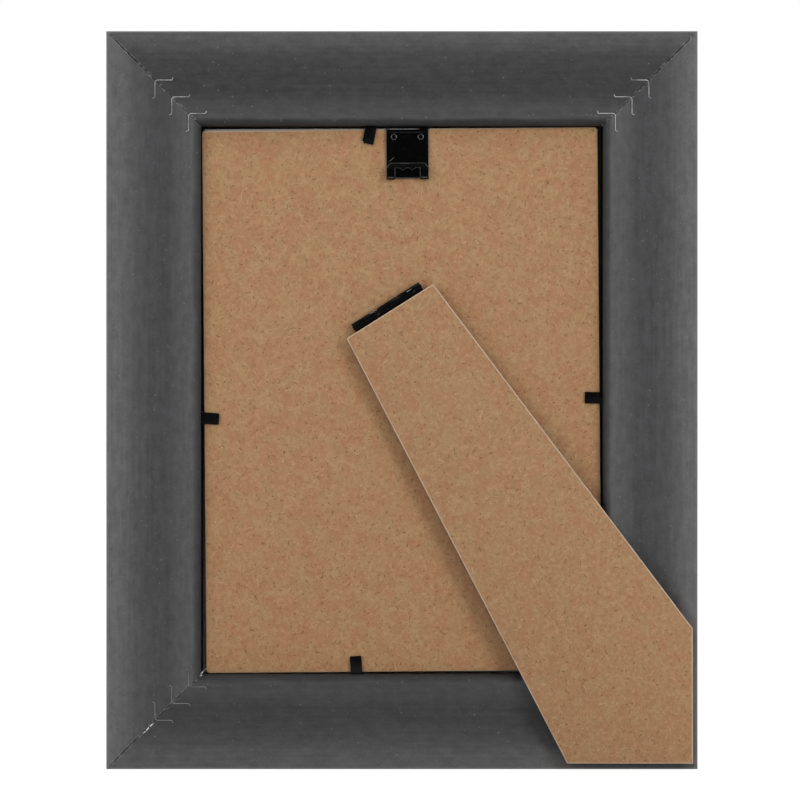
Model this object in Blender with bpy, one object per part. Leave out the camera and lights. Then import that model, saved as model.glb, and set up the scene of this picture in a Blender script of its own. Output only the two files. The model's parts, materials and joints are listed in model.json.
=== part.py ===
"""Wide-moulding photo frame for a 13 by 18 cm print, standing upright.

Every length is in metres. The frame stands on its lower edge on the plane z = 0, its front
faces -Y and its back faces +Y. Left and right are as seen from behind, so left is +X. A
depth is counted from the moulding's rear plane and is negative towards the front.
"""

import math

import bmesh
import bpy

# Print and rebate
PRINT_WIDTH = 0.1300
PRINT_HEIGHT = 0.1800
PRINT_SIDE_PLAY = 0.0015
PRINT_END_PLAY = 0.0007
REBATE_DEPTH = 0.0096

# Moulding profile
MOULDING_REAR_WIDTH = 0.0311
MOULDING_DEPTH = 0.0200
SIGHT_LIP = 0.0057
LIP_THICKNESS = 0.0032
REAR_LAND_WIDTH = 0.0052
SCOOP_DEPTH = 0.0026
REBATE_EDGE_RADIUS = 0.0023
OUTER_EDGE_RADIUS = 0.0005
FRONT_BEAD_RADIUS = 0.0045
FRONT_BEAD_TURN = math.radians(140)
COVE_SAG = 0.0016
SIGHT_BEAD_RADIUS = 0.0018

# Clearances
SEAT_GAP = 0.0003
MITRE_GAP = 0.0003
PRESS_GAP = 0.00012
RUNNING_GAP = 0.0001

# Glazing, insert and back panel
GLASS_THICKNESS = 0.0020
GLASS_EDGE_PLAY = 0.0004
INSERT_THICKNESS = 0.0004
BOARD_THICKNESS = 0.0025
PANEL_SIDE_PLAY = 0.0010
PANEL_CORNER_GAP = 0.00025
PANEL_CORNER_RADIUS = 0.0012

# V-nails across the mitres
NAIL_COUNT = 3
NAIL_FROM_OUTER_EDGE = 0.0159
NAIL_FROM_REBATE = 0.0040
NAIL_LEG = 0.0057
NAIL_HOOK = 0.0008
NAIL_THICKNESS = 0.0004
NAIL_HEIGHT = 0.0070
NAIL_SINK = 0.0001

# Flexible tabs: each has its place along its side, going the way that the sides turn, and its skew
TAB_WIDTH = 0.00385
TAB_THICKNESS = 0.0004
TAB_REACH = 0.0060
TAB_ROOT = 0.0060
TAB_POINT = 0.0025
TAB_BEND_FROM_WALL = 0.0005
TAB_PLACES = {
    "top": (0.0102, math.radians(11.9)),
    "left": (0.0059, math.radians(4.4)),
    "bottom": (-0.0150, math.radians(-3.7)),
    "right": (0.0007, math.radians(1.5)),
}

# Folded hanger and its rivets
HANGER_OFFSET = -0.0025
HANGER_WIDTH = 0.0141
HANGER_HEIGHT = 0.0166
HANGER_THICKNESS = 0.0005
HANGER_FOLD_GAP = 0.0012
HANGER_FLAP_HEIGHT = 0.0055
HANGER_CHAMFER = 0.0015
WINDOW_WIDTH = 0.0081
WINDOW_TOP = 0.0038
FOOT_NOTCH = 0.0005
TOOTH_COUNT = 2
TOOTH_WIDTH = 0.0024
TOOTH_PITCH = 0.0031
TOOTH_DEPTH = 0.0008
RIVET_SPACING = 0.0089
RIVET_FROM_TOP = 0.0028
RIVET_HEAD_RADIUS = 0.0010
RIVET_HEAD_HEIGHT = 0.00035
RIVET_SHANK_RADIUS = 0.0006
RIVET_BORE_RADIUS = 0.00035
RIVET_CLENCH_RADIUS = 0.0009
RIVET_CLENCH_HEIGHT = 0.0004

# Hinge
HINGE_OFFSET = 0.0049
HINGE_ABOVE_MIDDLE = 0.0308
HINGE_LENGTH = 0.0263
MIDDLE_KNUCKLE_LENGTH = 0.0088
BARREL_RADIUS = 0.00145
PIN_RADIUS = 0.0006
PIN_PROUD = 0.0002
LEAF_THICKNESS = 0.0004
PANEL_LEAF_REACH = 0.0120
LEG_LEAF_REACH = 0.0100
PRONG_WIDTH = 0.0010
PRONG_TIP_WIDTH = 0.0004
PRONG_DEPTH = 0.0013
PRONG_FROM_END = 0.0040
PRONG_FROM_EDGE = 0.0015
PRONG_FROM_BARREL = 0.0025

# Easel leg
LEG_LEAN = math.radians(32.2)
LEG_TAPER = math.radians(4.76)
LEG_TOP_WIDTH = 0.0338
LEG_FOOT_INSET = 0.0022
LEG_SIDE_INSET = 0.0019

# Facets of the round shapes
CIRCLE_STEPS = 24
SCOOP_STEPS = 14
COVE_STEPS = 12
BEAD_STEPS = 9
EDGE_STEPS = 4

# Outer size, and how the stack in the rebate works out
REBATE_WIDTH = PRINT_WIDTH + 2 * PRINT_SIDE_PLAY
REBATE_HEIGHT = PRINT_HEIGHT + 2 * PRINT_END_PLAY
FRAME_WIDTH = REBATE_WIDTH + 2 * MOULDING_REAR_WIDTH
FRAME_HEIGHT = REBATE_HEIGHT + 2 * MOULDING_REAR_WIDTH
MIDDLE_HEIGHT = FRAME_HEIGHT / 2
REAR_Y = MOULDING_DEPTH / 2
GLASS_FRONT = -REBATE_DEPTH + SEAT_GAP
INSERT_FRONT = GLASS_FRONT + GLASS_THICKNESS + SEAT_GAP
PANEL_FRONT = INSERT_FRONT + INSERT_THICKNESS + SEAT_GAP
PANEL_REAR = PANEL_FRONT + BOARD_THICKNESS

# The panel is turned until its long edges nearly touch the rebate
PANEL_TURN = math.asin(2 * (PANEL_SIDE_PLAY - PANEL_CORNER_GAP) / REBATE_HEIGHT)
PANEL_END_PLAY = math.sin(PANEL_TURN) * REBATE_WIDTH / 2 + PANEL_CORNER_GAP
PANEL_WIDTH = REBATE_WIDTH - 2 * PANEL_SIDE_PLAY
PANEL_HEIGHT = REBATE_HEIGHT - 2 * PANEL_END_PLAY

# Levels in the hinge, counted from its axis
HINGE_AXIS = PANEL_REAR + SEAT_GAP + BARREL_RADIUS
PANEL_LEAF_TOP = -BARREL_RADIUS + LEAF_THICKNESS
LEG_LEAF_BOTTOM = PANEL_LEAF_TOP + SEAT_GAP
LEG_LEAF_TOP = LEG_LEAF_BOTTOM + LEAF_THICKNESS
LEG_FACE = LEG_LEAF_TOP + SEAT_GAP
LEG_TOP_GAP = BARREL_RADIUS + SEAT_GAP

# How far a cutter runs past what it cuts
PAST = 0.0020

# Quarter turns about Y that bring the top side to each side
SIDE_TURNS = {"top": 0, "left": 1, "bottom": 2, "right": 3}
CORNER_TURNS = {"top_left": 0, "bottom_left": 1, "bottom_right": 2, "top_right": 3}
QUARTER = math.pi / 2


def clear_scene():
    """Remove every object, so that a second run starts afresh."""
    for obj in list(bpy.data.objects):
        bpy.data.objects.remove(obj, do_unlink=True)


def material(name, color, roughness, metallic=0.0, transmission=0.0):
    """Make a plain Principled material."""
    made = bpy.data.materials.new(name)
    made.use_nodes = True
    shader = made.node_tree.nodes["Principled BSDF"]
    shader.inputs["Base Color"].default_value = (*color, 1.0)
    shader.inputs["Roughness"].default_value = roughness
    shader.inputs["Metallic"].default_value = metallic
    shader.inputs["Transmission Weight"].default_value = transmission
    return made


def arc(center, radius, start, sweep, steps):
    """Points along a circular arc, both ends included."""
    points = []
    for i in range(steps + 1):
        angle = start + sweep * i / steps
        points.append((center[0] + radius * math.cos(angle), center[1] + radius * math.sin(angle)))
    return points


def circle(radius, center=(0.0, 0.0)):
    """Points round a full circle."""
    return arc(center, radius, 0.0, math.tau, CIRCLE_STEPS)[:-1]


def box_outline(low_a, high_a, low_b, high_b):
    """The four corners of a rectangle."""
    return [(low_a, low_b), (high_a, low_b), (high_a, high_b), (low_a, high_b)]


def rounded_box(width, height, radius):
    """A rectangle about the origin with rounded corners."""
    points = []
    for i, (side_a, side_b) in enumerate(((1, 1), (-1, 1), (-1, -1), (1, -1))):
        center = (side_a * (width / 2 - radius), side_b * (height / 2 - radius))
        points += arc(center, radius, i * QUARTER, QUARTER, EDGE_STEPS)
    return points


def sag_at(share, chord, sag):
    """How far an arc stands off its chord, at a share of the chord's length."""
    radius = (chord * chord / 4 + sag * sag) / (2 * sag)
    return math.sqrt(radius * radius - (chord * (share - 0.5)) ** 2) - (radius - sag)


def sagged(start, end, sag, steps):
    """Points from start to end on an arc that stands off to the right of that line by sag."""
    run_a = end[0] - start[0]
    run_b = end[1] - start[1]
    chord = math.hypot(run_a, run_b)
    points = []
    for i in range(steps + 1):
        share = i / steps
        off = sag_at(share, chord, sag) / chord
        points.append((start[0] + share * run_a + off * run_b, start[1] + share * run_b - off * run_a))
    return points


def meet(point_a, way_a, point_b, way_b):
    """Where two lines in a plane cross."""
    cross = way_a[0] * way_b[1] - way_a[1] * way_b[0]
    gap_a = point_b[0] - point_a[0]
    gap_b = point_b[1] - point_a[1]
    run = (gap_a * way_b[1] - gap_b * way_b[0]) / cross
    return (point_a[0] + run * way_a[0], point_a[1] + run * way_a[1])


def prism(outline, start, end, axis="Y"):
    """Extrude an outline of (x, z) points along Y, or of (y, z) points along X."""
    bm = bmesh.new()
    rings = []
    for level in (start, end):
        if axis == "Y":
            rings.append([bm.verts.new((a, level, b)) for a, b in outline])
        else:
            rings.append([bm.verts.new((level, a, b)) for a, b in outline])
    bm.faces.new(rings[0])
    bm.faces.new(rings[1])
    count = len(outline)
    for i in range(count):
        j = (i + 1) % count
        bm.faces.new((rings[0][i], rings[0][j], rings[1][j], rings[1][i]))
    return bm


def turned(profile):
    """Turn a closed profile of (radius, y) points about the Y axis."""
    bm = bmesh.new()
    rings = []
    for i in range(CIRCLE_STEPS):
        angle = math.tau * i / CIRCLE_STEPS
        rings.append([bm.verts.new((r * math.cos(angle), y, r * math.sin(angle))) for r, y in profile])
    count = len(profile)
    for i, ring in enumerate(rings):
        following = rings[(i + 1) % CIRCLE_STEPS]
        for j in range(count):
            k = (j + 1) % count
            bm.faces.new((ring[j], ring[k], following[k], following[j]))
    return bm


def place(obj, parent, location, turn):
    """Put an object in the scene, under a parent where it has one."""
    obj.location = location
    obj.rotation_euler = turn
    obj.parent = parent
    bpy.context.scene.collection.objects.link(obj)
    return obj


def piece(name, bm, finish, parent=None, location=(0.0, 0.0, 0.0), turn=(0.0, 0.0, 0.0)):
    """Make one named piece from a bmesh."""
    bmesh.ops.recalc_face_normals(bm, faces=bm.faces[:])
    mesh = bpy.data.meshes.new(name)
    bm.to_mesh(mesh)
    bm.free()
    mesh.materials.append(finish)
    mesh.shade_smooth()
    mesh.set_sharp_from_angle(angle=math.radians(30))
    return place(bpy.data.objects.new(name, mesh), parent, location, turn)


def shaper(name, bm, parent=None, location=(0.0, 0.0, 0.0), turn=(0.0, 0.0, 0.0)):
    """Make a guide body that only cuts or joins, and isn't a piece."""
    bmesh.ops.recalc_face_normals(bm, faces=bm.faces[:])
    mesh = bpy.data.meshes.new(name)
    bm.to_mesh(mesh)
    bm.free()
    guide = place(bpy.data.objects.new(name, mesh), parent, location, turn)
    guide.hide_render = True
    guide.display_type = "WIRE"
    return guide


def combine(target, guide, operation):
    """Add a Boolean modifier that cuts the guide from the target, or joins it on."""
    modifier = target.modifiers.new(guide.name, "BOOLEAN")
    modifier.operation = operation
    modifier.solver = "EXACT"
    modifier.object = guide


def cut(target, guide):
    """Cut the guide out of the target."""
    combine(target, guide, "DIFFERENCE")


def join(target, guide):
    """Join the guide onto the target."""
    combine(target, guide, "UNION")


def anchor(name, location, turn):
    """Make an empty that carries pieces."""
    return place(bpy.data.objects.new(name, None), None, location, turn)


def side_sizes(side):
    """A side's own length, and how far across the frame it is to the opposite outer edge."""
    if SIDE_TURNS[side] % 2:
        return FRAME_HEIGHT, FRAME_WIDTH
    return FRAME_WIDTH, FRAME_HEIGHT


def scoop_ends():
    """Where the scooped channel starts and ends, across the moulding."""
    return REAR_LAND_WIDTH, MOULDING_REAR_WIDTH - REBATE_EDGE_RADIUS


def rear_depth(across):
    """The depth of the moulding's rear surface inside the scooped channel."""
    start, end = scoop_ends()
    return -sag_at((across - start) / (end - start), end - start, SCOOP_DEPTH)


def moulding_profile():
    """The moulding's section as (across, depth) points, starting at the outer rear edge."""
    start, end = scoop_ends()
    full_width = MOULDING_REAR_WIDTH + SIGHT_LIP
    sight_front = -(REBATE_DEPTH + LIP_THICKNESS)
    sight_foot = (full_width - 2 * SIGHT_BEAD_RADIUS, sight_front)
    outer_bead = arc(
        (FRONT_BEAD_RADIUS, FRONT_BEAD_RADIUS - MOULDING_DEPTH),
        FRONT_BEAD_RADIUS,
        math.pi + FRONT_BEAD_TURN,
        -FRONT_BEAD_TURN,
        BEAD_STEPS,
    )
    points = arc((OUTER_EDGE_RADIUS, -OUTER_EDGE_RADIUS), OUTER_EDGE_RADIUS, math.pi, -QUARTER, EDGE_STEPS)
    points += sagged((start, 0.0), (end, 0.0), SCOOP_DEPTH, SCOOP_STEPS)
    points += arc((end, -REBATE_EDGE_RADIUS), REBATE_EDGE_RADIUS, QUARTER, -QUARTER, EDGE_STEPS)[1:]
    points += [(MOULDING_REAR_WIDTH, -REBATE_DEPTH), (full_width, -REBATE_DEPTH)]
    points += arc((full_width - SIGHT_BEAD_RADIUS, sight_front), SIGHT_BEAD_RADIUS, 0.0, -math.pi, BEAD_STEPS)
    points += sagged(sight_foot, outer_bead[0], COVE_SAG, COVE_STEPS)[1:-1]
    points += outer_bead
    return points


def moulding(side, finish):
    """One side of the frame, mitred at both ends."""
    length, span = side_sizes(side)
    bm = bmesh.new()
    rings = []
    for end in (-1, 1):
        ring = []
        for across, depth in moulding_profile():
            half = length / 2 - across - MITRE_GAP / math.sqrt(2)
            ring.append(bm.verts.new((end * half, REAR_Y + depth, span / 2 - across)))
        rings.append(ring)
    bm.faces.new(rings[0])
    bm.faces.new(rings[1])
    count = len(rings[0])
    for i in range(count):
        j = (i + 1) % count
        bm.faces.new((rings[0][i], rings[0][j], rings[1][j], rings[1][i]))
    turn = (0.0, SIDE_TURNS[side] * QUARTER, 0.0)
    return piece(f"moulding_{side}", bm, finish, None, (0.0, 0.0, MIDDLE_HEIGHT), turn)


def nail_outline(gap):
    """A V-nail seen from behind, its corner at the origin, its legs along -X and -Z."""
    half = NAIL_THICKNESS / 2 + gap
    tip = NAIL_LEG + half
    inside = NAIL_LEG - half
    hook = NAIL_HOOK + gap
    return [
        (-tip, hook),
        (-inside, hook),
        (-inside, half),
        (half, half),
        (half, -inside),
        (hook, -inside),
        (hook, -tip),
        (-half, -tip),
        (-half, -half),
        (-tip, -half),
    ]


def nail_places():
    """Each V-nail's distance from the two outer edges that meet at its corner."""
    last = MOULDING_REAR_WIDTH - NAIL_FROM_REBATE
    pitch = (last - NAIL_FROM_OUTER_EDGE) / (NAIL_COUNT - 1)
    return [NAIL_FROM_OUTER_EDGE + i * pitch for i in range(NAIL_COUNT)]


def v_nails(corner, mouldings, finish):
    """The V-nails of one corner, and their pockets in the two sides that meet there."""
    side_x = -1 if "right" in corner else 1
    side_z = -1 if "bottom" in corner else 1
    turn = (0.0, CORNER_TURNS[corner] * QUARTER, 0.0)
    vertical, horizontal = corner.split("_")
    for number, inward in enumerate(nail_places(), start=1):
        location = (
            side_x * (FRAME_WIDTH / 2 - inward),
            REAR_Y + rear_depth(inward) - NAIL_SINK,
            MIDDLE_HEIGHT + side_z * (FRAME_HEIGHT / 2 - inward),
        )
        name = f"v_nail_{corner}_{number}"
        piece(name, prism(nail_outline(0.0), -NAIL_HEIGHT, 0.0), finish, None, location, turn)
        pocket = prism(nail_outline(PRESS_GAP), -NAIL_HEIGHT - PRESS_GAP, SCOOP_DEPTH + PAST)
        guide = shaper(f"{name}_pocket", pocket, None, location, turn)
        cut(mouldings[vertical], guide)
        cut(mouldings[horizontal], guide)


def skewed_strip(start, end, width, skew):
    """A strip's long sides from start to end inwards, leaning by skew, through the bend."""
    half = width / 2 / math.cos(skew)
    points = []
    for across, inward in ((-half, start), (half, start), (half, end), (-half, end)):
        points.append((across + inward * math.tan(skew), -inward))
    return points


def tab_root_outline(skew):
    """The pressed-in half of a tab, from its point in the moulding to just short of the bend."""
    deep = -(TAB_BEND_FROM_WALL + TAB_ROOT)
    neck = deep + TAB_POINT
    left_neck, *others = skewed_strip(neck, -SEAT_GAP / 2, TAB_WIDTH, skew)
    return [left_neck, (deep * math.tan(skew), -deep), *others]


def tab_blade_outline(skew):
    """The free half of a tab, cut square to itself at its tip."""
    near = skewed_strip(SEAT_GAP / 2, SEAT_GAP, TAB_WIDTH, skew)[:2]
    reach = TAB_REACH - TAB_BEND_FROM_WALL
    tip = (reach * math.sin(skew), -reach * math.cos(skew))
    side = (TAB_WIDTH / 2 * math.cos(skew), TAB_WIDTH / 2 * math.sin(skew))
    return near + [(tip[0] + side[0], tip[1] + side[1]), (tip[0] - side[0], tip[1] - side[1])]


def tab(side, side_moulding, finish):
    """One flexible tab: its root in a slit in the rebate wall, and the blade that bends."""
    along, skew = TAB_PLACES[side]
    span = side_sizes(side)[1]
    turn = SIDE_TURNS[side] * QUARTER
    inward = span / 2 - MOULDING_REAR_WIDTH - TAB_BEND_FROM_WALL
    bend = (
        along * math.cos(turn) + inward * math.sin(turn),
        REAR_Y + PANEL_REAR + SEAT_GAP + TAB_THICKNESS,
        MIDDLE_HEIGHT - along * math.sin(turn) + inward * math.cos(turn),
    )
    rotation = (0.0, turn, 0.0)
    root = prism(tab_root_outline(skew), -TAB_THICKNESS, 0.0)
    piece(f"tab_root_{side}", root, finish, None, bend, rotation)
    blade = prism(tab_blade_outline(skew), -TAB_THICKNESS, 0.0)
    piece(f"tab_blade_{side}", blade, finish, None, bend, rotation)
    slit_end = -(TAB_BEND_FROM_WALL + TAB_ROOT + PRESS_GAP)
    slit = skewed_strip(slit_end, PAST, TAB_WIDTH + 2 * PRESS_GAP, skew)
    guide = prism(slit, -TAB_THICKNESS - PRESS_GAP, PRESS_GAP)
    cut(side_moulding, shaper(f"tab_slit_{side}", guide, None, bend, rotation))


def glazing(finish):
    """The clear sheet on the rebate's floor."""
    half_width = REBATE_WIDTH / 2 - GLASS_EDGE_PLAY
    half_height = REBATE_HEIGHT / 2 - GLASS_EDGE_PLAY
    outline = box_outline(-half_width, half_width, -half_height, half_height)
    front = REAR_Y + GLASS_FRONT
    bm = prism(outline, front, front + GLASS_THICKNESS)
    return piece("glass", bm, finish, None, (0.0, 0.0, MIDDLE_HEIGHT))


def paper_insert(finish):
    """The plain sheet in the print's place."""
    outline = box_outline(-PRINT_WIDTH / 2, PRINT_WIDTH / 2, -PRINT_HEIGHT / 2, PRINT_HEIGHT / 2)
    front = REAR_Y + INSERT_FRONT
    bm = prism(outline, front, front + INSERT_THICKNESS)
    return piece("paper_insert", bm, finish, None, (0.0, 0.0, MIDDLE_HEIGHT))


def back_panel(panel_place, finish):
    """The fibreboard panel, its rear face at its own zero level."""
    outline = rounded_box(PANEL_WIDTH, PANEL_HEIGHT, PANEL_CORNER_RADIUS)
    return piece("back_panel", prism(outline, -BOARD_THICKNESS, 0.0), finish, panel_place)


def hanger_section(bottom, top):
    """The hanger's folded section as (y, z) points: plate, fold and flap."""
    back = SEAT_GAP
    inner = HANGER_FOLD_GAP / 2
    outer = inner + HANGER_THICKNESS
    fold = (back + outer, bottom + outer)
    flap_top = bottom + HANGER_FLAP_HEIGHT
    points = [(back, top)]
    points += arc(fold, outer, math.pi, math.pi, BEAD_STEPS)
    points += [(back + 2 * outer, flap_top), (back + outer + inner, flap_top)]
    points += arc(fold, inner, 0.0, -math.pi, BEAD_STEPS)
    points += [(back + HANGER_THICKNESS, top)]
    return points


def window_outline(middle, bottom):
    """The hook window: open downwards, with teeth that point down from its upper edge."""
    top = bottom + WINDOW_TOP
    half = WINDOW_WIDTH / 2
    points = [(middle - half, bottom - PAST), (middle + half, bottom - PAST), (middle + half, top)]
    for i in reversed(range(TOOTH_COUNT)):
        tooth = middle + (i - (TOOTH_COUNT - 1) / 2) * TOOTH_PITCH
        points += [(tooth + TOOTH_WIDTH / 2, top), (tooth, top - TOOTH_DEPTH), (tooth - TOOTH_WIDTH / 2, top)]
    points.append((middle - half, top))
    return points


def hanger(panel_place, panel, finish, rivet_finish):
    """The folded hanger on the panel, with its rivets."""
    top = PANEL_HEIGHT / 2
    bottom = top - HANGER_HEIGHT
    left = HANGER_OFFSET + HANGER_WIDTH / 2
    right = HANGER_OFFSET - HANGER_WIDTH / 2
    body = piece("hanger", prism(hanger_section(bottom, top), right, left, "X"), finish, panel_place)
    behind_fold = SEAT_GAP + HANGER_THICKNESS + HANGER_FOLD_GAP / 2
    outside = SEAT_GAP + 2 * HANGER_THICKNESS + HANGER_FOLD_GAP + PAST
    window = prism(window_outline(HANGER_OFFSET, bottom), behind_fold, outside)
    cut(body, shaper("hanger_window", window, panel_place))
    low = HANGER_OFFSET - WINDOW_WIDTH / 2
    notch = box_outline(low, low + WINDOW_WIDTH, bottom - PAST, bottom + FOOT_NOTCH)
    cut(body, shaper("hanger_foot_notch", prism(notch, 0.0, outside), panel_place))
    flap_top = bottom + HANGER_FLAP_HEIGHT
    for name, edge, side in (("left", left, 1), ("right", right, -1)):
        corner = [
            (edge + side * PAST, flap_top - HANGER_CHAMFER - PAST),
            (edge + side * PAST, flap_top + PAST),
            (edge - side * (HANGER_CHAMFER + PAST), flap_top + PAST),
        ]
        cut(body, shaper(f"hanger_chamfer_{name}", prism(corner, behind_fold, outside), panel_place))
    for name, side in (("left", 1), ("right", -1)):
        across = HANGER_OFFSET + side * RIVET_SPACING / 2
        location = (across, 0.0, top - RIVET_FROM_TOP)
        rivet(f"hanger_rivet_{name}", location, (body, panel), panel_place, rivet_finish)


def rivet(name, location, plates, panel_place, finish):
    """One tubular rivet through the hanger and the panel, clenched in the panel's inner face."""
    body, panel = plates
    head = SEAT_GAP + HANGER_THICKNESS + PRESS_GAP
    foot = -BOARD_THICKNESS + PRESS_GAP
    clench = foot + RIVET_CLENCH_HEIGHT
    crown = head + RIVET_HEAD_HEIGHT
    profile = [
        (RIVET_BORE_RADIUS, foot),
        (RIVET_CLENCH_RADIUS, foot),
        (RIVET_CLENCH_RADIUS, clench),
        (RIVET_SHANK_RADIUS, clench),
        (RIVET_SHANK_RADIUS, head),
        (RIVET_HEAD_RADIUS, head),
        (RIVET_HEAD_RADIUS, head + RIVET_HEAD_HEIGHT / 2),
        ((RIVET_HEAD_RADIUS + RIVET_BORE_RADIUS) / 2, crown),
        (RIVET_BORE_RADIUS, head + RIVET_HEAD_HEIGHT / 2),
    ]
    piece(name, turned(profile), finish, panel_place, location)
    hole = prism(circle(RIVET_SHANK_RADIUS + PRESS_GAP), -BOARD_THICKNESS - PAST, head + PAST)
    guide = shaper(f"{name}_hole", hole, panel_place, location)
    cut(body, guide)
    cut(panel, guide)
    recess = prism(circle(RIVET_CLENCH_RADIUS + PRESS_GAP), -BOARD_THICKNESS - PAST, clench + PRESS_GAP)
    cut(panel, shaper(f"{name}_recess", recess, panel_place, location))


def hinge_middle():
    """The middle of the hinge's axis."""
    return (HINGE_OFFSET, REAR_Y + HINGE_AXIS, MIDDLE_HEIGHT + HINGE_ABOVE_MIDDLE)


def to_hinge(x, z):
    """A point of the back plane, in the hinge's own directions: along its axis, and up the leg."""
    middle = hinge_middle()
    off_x = x - middle[0]
    off_z = z - middle[2]
    return (
        off_x * math.cos(LEG_LEAN) - off_z * math.sin(LEG_LEAN),
        off_x * math.sin(LEG_LEAN) + off_z * math.cos(LEG_LEAN),
    )


def leg_edges():
    """The leg's two long edges, each as a point and a direction in the hinge's own directions."""
    edges = {}
    for name, side in (("left", 1), ("right", -1)):
        corner = (side * LEG_TOP_WIDTH / 2, -LEG_TOP_GAP)
        edges[name] = (corner, (side * math.sin(LEG_TAPER), -math.cos(LEG_TAPER)))
    return edges


def level_line(height):
    """A level line in the back plane, as a point and a direction in the hinge's own directions."""
    return to_hinge(0.0, height), (math.cos(LEG_LEAN), math.sin(LEG_LEAN))


def upright_line(x):
    """An upright line in the back plane, as a point and a direction in the hinge's own directions."""
    return to_hinge(x, MIDDLE_HEIGHT), (-math.sin(LEG_LEAN), math.cos(LEG_LEAN))


def leg_outline():
    """The leg's outline: two of its edges follow the frame's, so that it stands either way up."""
    edges = leg_edges()
    side = LEG_SIDE_INSET - FRAME_WIDTH / 2
    return [
        edges["right"][0],
        edges["left"][0],
        meet(*edges["left"], *level_line(LEG_FOOT_INSET)),
        to_hinge(side, LEG_FOOT_INSET),
        meet(*edges["right"], *upright_line(side)),
    ]


def leg_rest_tilt():
    """The tilt at which the closed leg just clears the moulding that it lies across."""
    edges = leg_edges()
    crest = MOULDING_REAR_WIDTH - REBATE_EDGE_RADIUS
    over_side = meet(*edges["right"], *upright_line(crest - FRAME_WIDTH / 2))
    over_foot = meet(*edges["left"], *level_line(crest))
    down = min(-over_side[1], -over_foot[1])
    rise = SEAT_GAP - HINGE_AXIS
    return math.asin(rise / math.hypot(down, LEG_FACE)) - math.atan2(LEG_FACE, down)


def leaf_section(bottom, top, reach):
    """A hinge leaf's section as (y, z) points about the axis: its plate, and its rolled barrel."""
    meets_top = -math.acos(top / BARREL_RADIUS)
    meets_bottom = math.tau - math.acos(bottom / BARREL_RADIUS)
    points = [(bottom, -reach), (top, -reach)]
    points += arc((0.0, 0.0), BARREL_RADIUS, meets_top, meets_bottom - meets_top, CIRCLE_STEPS)
    return points


def knuckle_room(low, high):
    """Room for the other leaf's knuckle, between two places along the hinge."""
    clear = BARREL_RADIUS + PAST
    return prism(box_outline(-clear, clear, -BARREL_RADIUS - SEAT_GAP, clear), low, high, "X")


def prongs(name, leaf, board, levels, rows, parent):
    """A leaf's prongs, and their slits in the board that they are pressed into."""
    start, end = levels
    way = 1 if end > start else -1
    across = HINGE_LENGTH / 2 - PRONG_FROM_END
    number = 0
    for side in (-1, 1):
        for row in rows:
            number += 1
            low = side * across - LEAF_THICKNESS / 2
            high = side * across + LEAF_THICKNESS / 2
            outline = [
                (start, row - PRONG_WIDTH / 2),
                (start, row + PRONG_WIDTH / 2),
                (end, row + PRONG_TIP_WIDTH / 2),
                (end, row - PRONG_TIP_WIDTH / 2),
            ]
            join(leaf, shaper(f"{name}_prong_{number}", prism(outline, low, high, "X"), parent))
            half = PRONG_WIDTH / 2 + PRESS_GAP
            ends = sorted((start, end + way * PRESS_GAP))
            slit = box_outline(*ends, row - half, row + half)
            guide = prism(slit, low - PRESS_GAP, high + PRESS_GAP, "X")
            cut(board, shaper(f"{name}_slit_{number}", guide, parent))


def hinge(hinge_place, leg_place, panel, leg, finish):
    """The two leaves and the pin."""
    half = HINGE_LENGTH / 2
    middle = MIDDLE_KNUCKLE_LENGTH / 2
    panel_section = leaf_section(-BARREL_RADIUS, PANEL_LEAF_TOP, PANEL_LEAF_REACH)
    panel_leaf = piece("hinge_leaf_panel", prism(panel_section, -half, half, "X"), finish, hinge_place)
    leg_section = leaf_section(LEG_LEAF_BOTTOM, LEG_LEAF_TOP, LEG_LEAF_REACH)
    leg_leaf = piece("hinge_leaf_leg", prism(leg_section, -half, half, "X"), finish, leg_place)
    cut(panel_leaf, shaper("middle_room", knuckle_room(-middle - SEAT_GAP, middle + SEAT_GAP), hinge_place))
    cut(leg_leaf, shaper("end_room_1", knuckle_room(-half - PAST, -middle), leg_place))
    cut(leg_leaf, shaper("end_room_2", knuckle_room(middle, half + PAST), leg_place))
    bore_radius = (PIN_RADIUS + RUNNING_GAP) / math.cos(math.pi / CIRCLE_STEPS)
    for name, leaf, parent in (("panel", panel_leaf, hinge_place), ("leg", leg_leaf, leg_place)):
        bore = prism(circle(bore_radius), -half - PAST, half + PAST, "X")
        cut(leaf, shaper(f"hinge_bore_{name}", bore, parent))
    first_row = -BARREL_RADIUS - PRONG_FROM_BARREL
    panel_start = PANEL_LEAF_TOP - LEAF_THICKNESS / 2
    panel_end = -BARREL_RADIUS - SEAT_GAP - PRONG_DEPTH
    panel_rows = (first_row, PRONG_FROM_EDGE - PANEL_LEAF_REACH)
    prongs("panel", panel_leaf, panel, (panel_start, panel_end), panel_rows, hinge_place)
    leg_start = LEG_LEAF_TOP - LEAF_THICKNESS / 2
    leg_end = LEG_FACE + PRONG_DEPTH
    leg_rows = (first_row, PRONG_FROM_EDGE - LEG_LEAF_REACH)
    prongs("leg", leg_leaf, leg, (leg_start, leg_end), leg_rows, leg_place)
    pin = prism(circle(PIN_RADIUS), -half - PIN_PROUD, half + PIN_PROUD, "X")
    piece("hinge_pin", pin, finish, hinge_place)


def easel_leg(leg_place, finish):
    """The fibreboard leg, in the directions of its hinge."""
    return piece("easel_leg", prism(leg_outline(), LEG_FACE, LEG_FACE + BOARD_THICKNESS), finish, leg_place)


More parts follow.
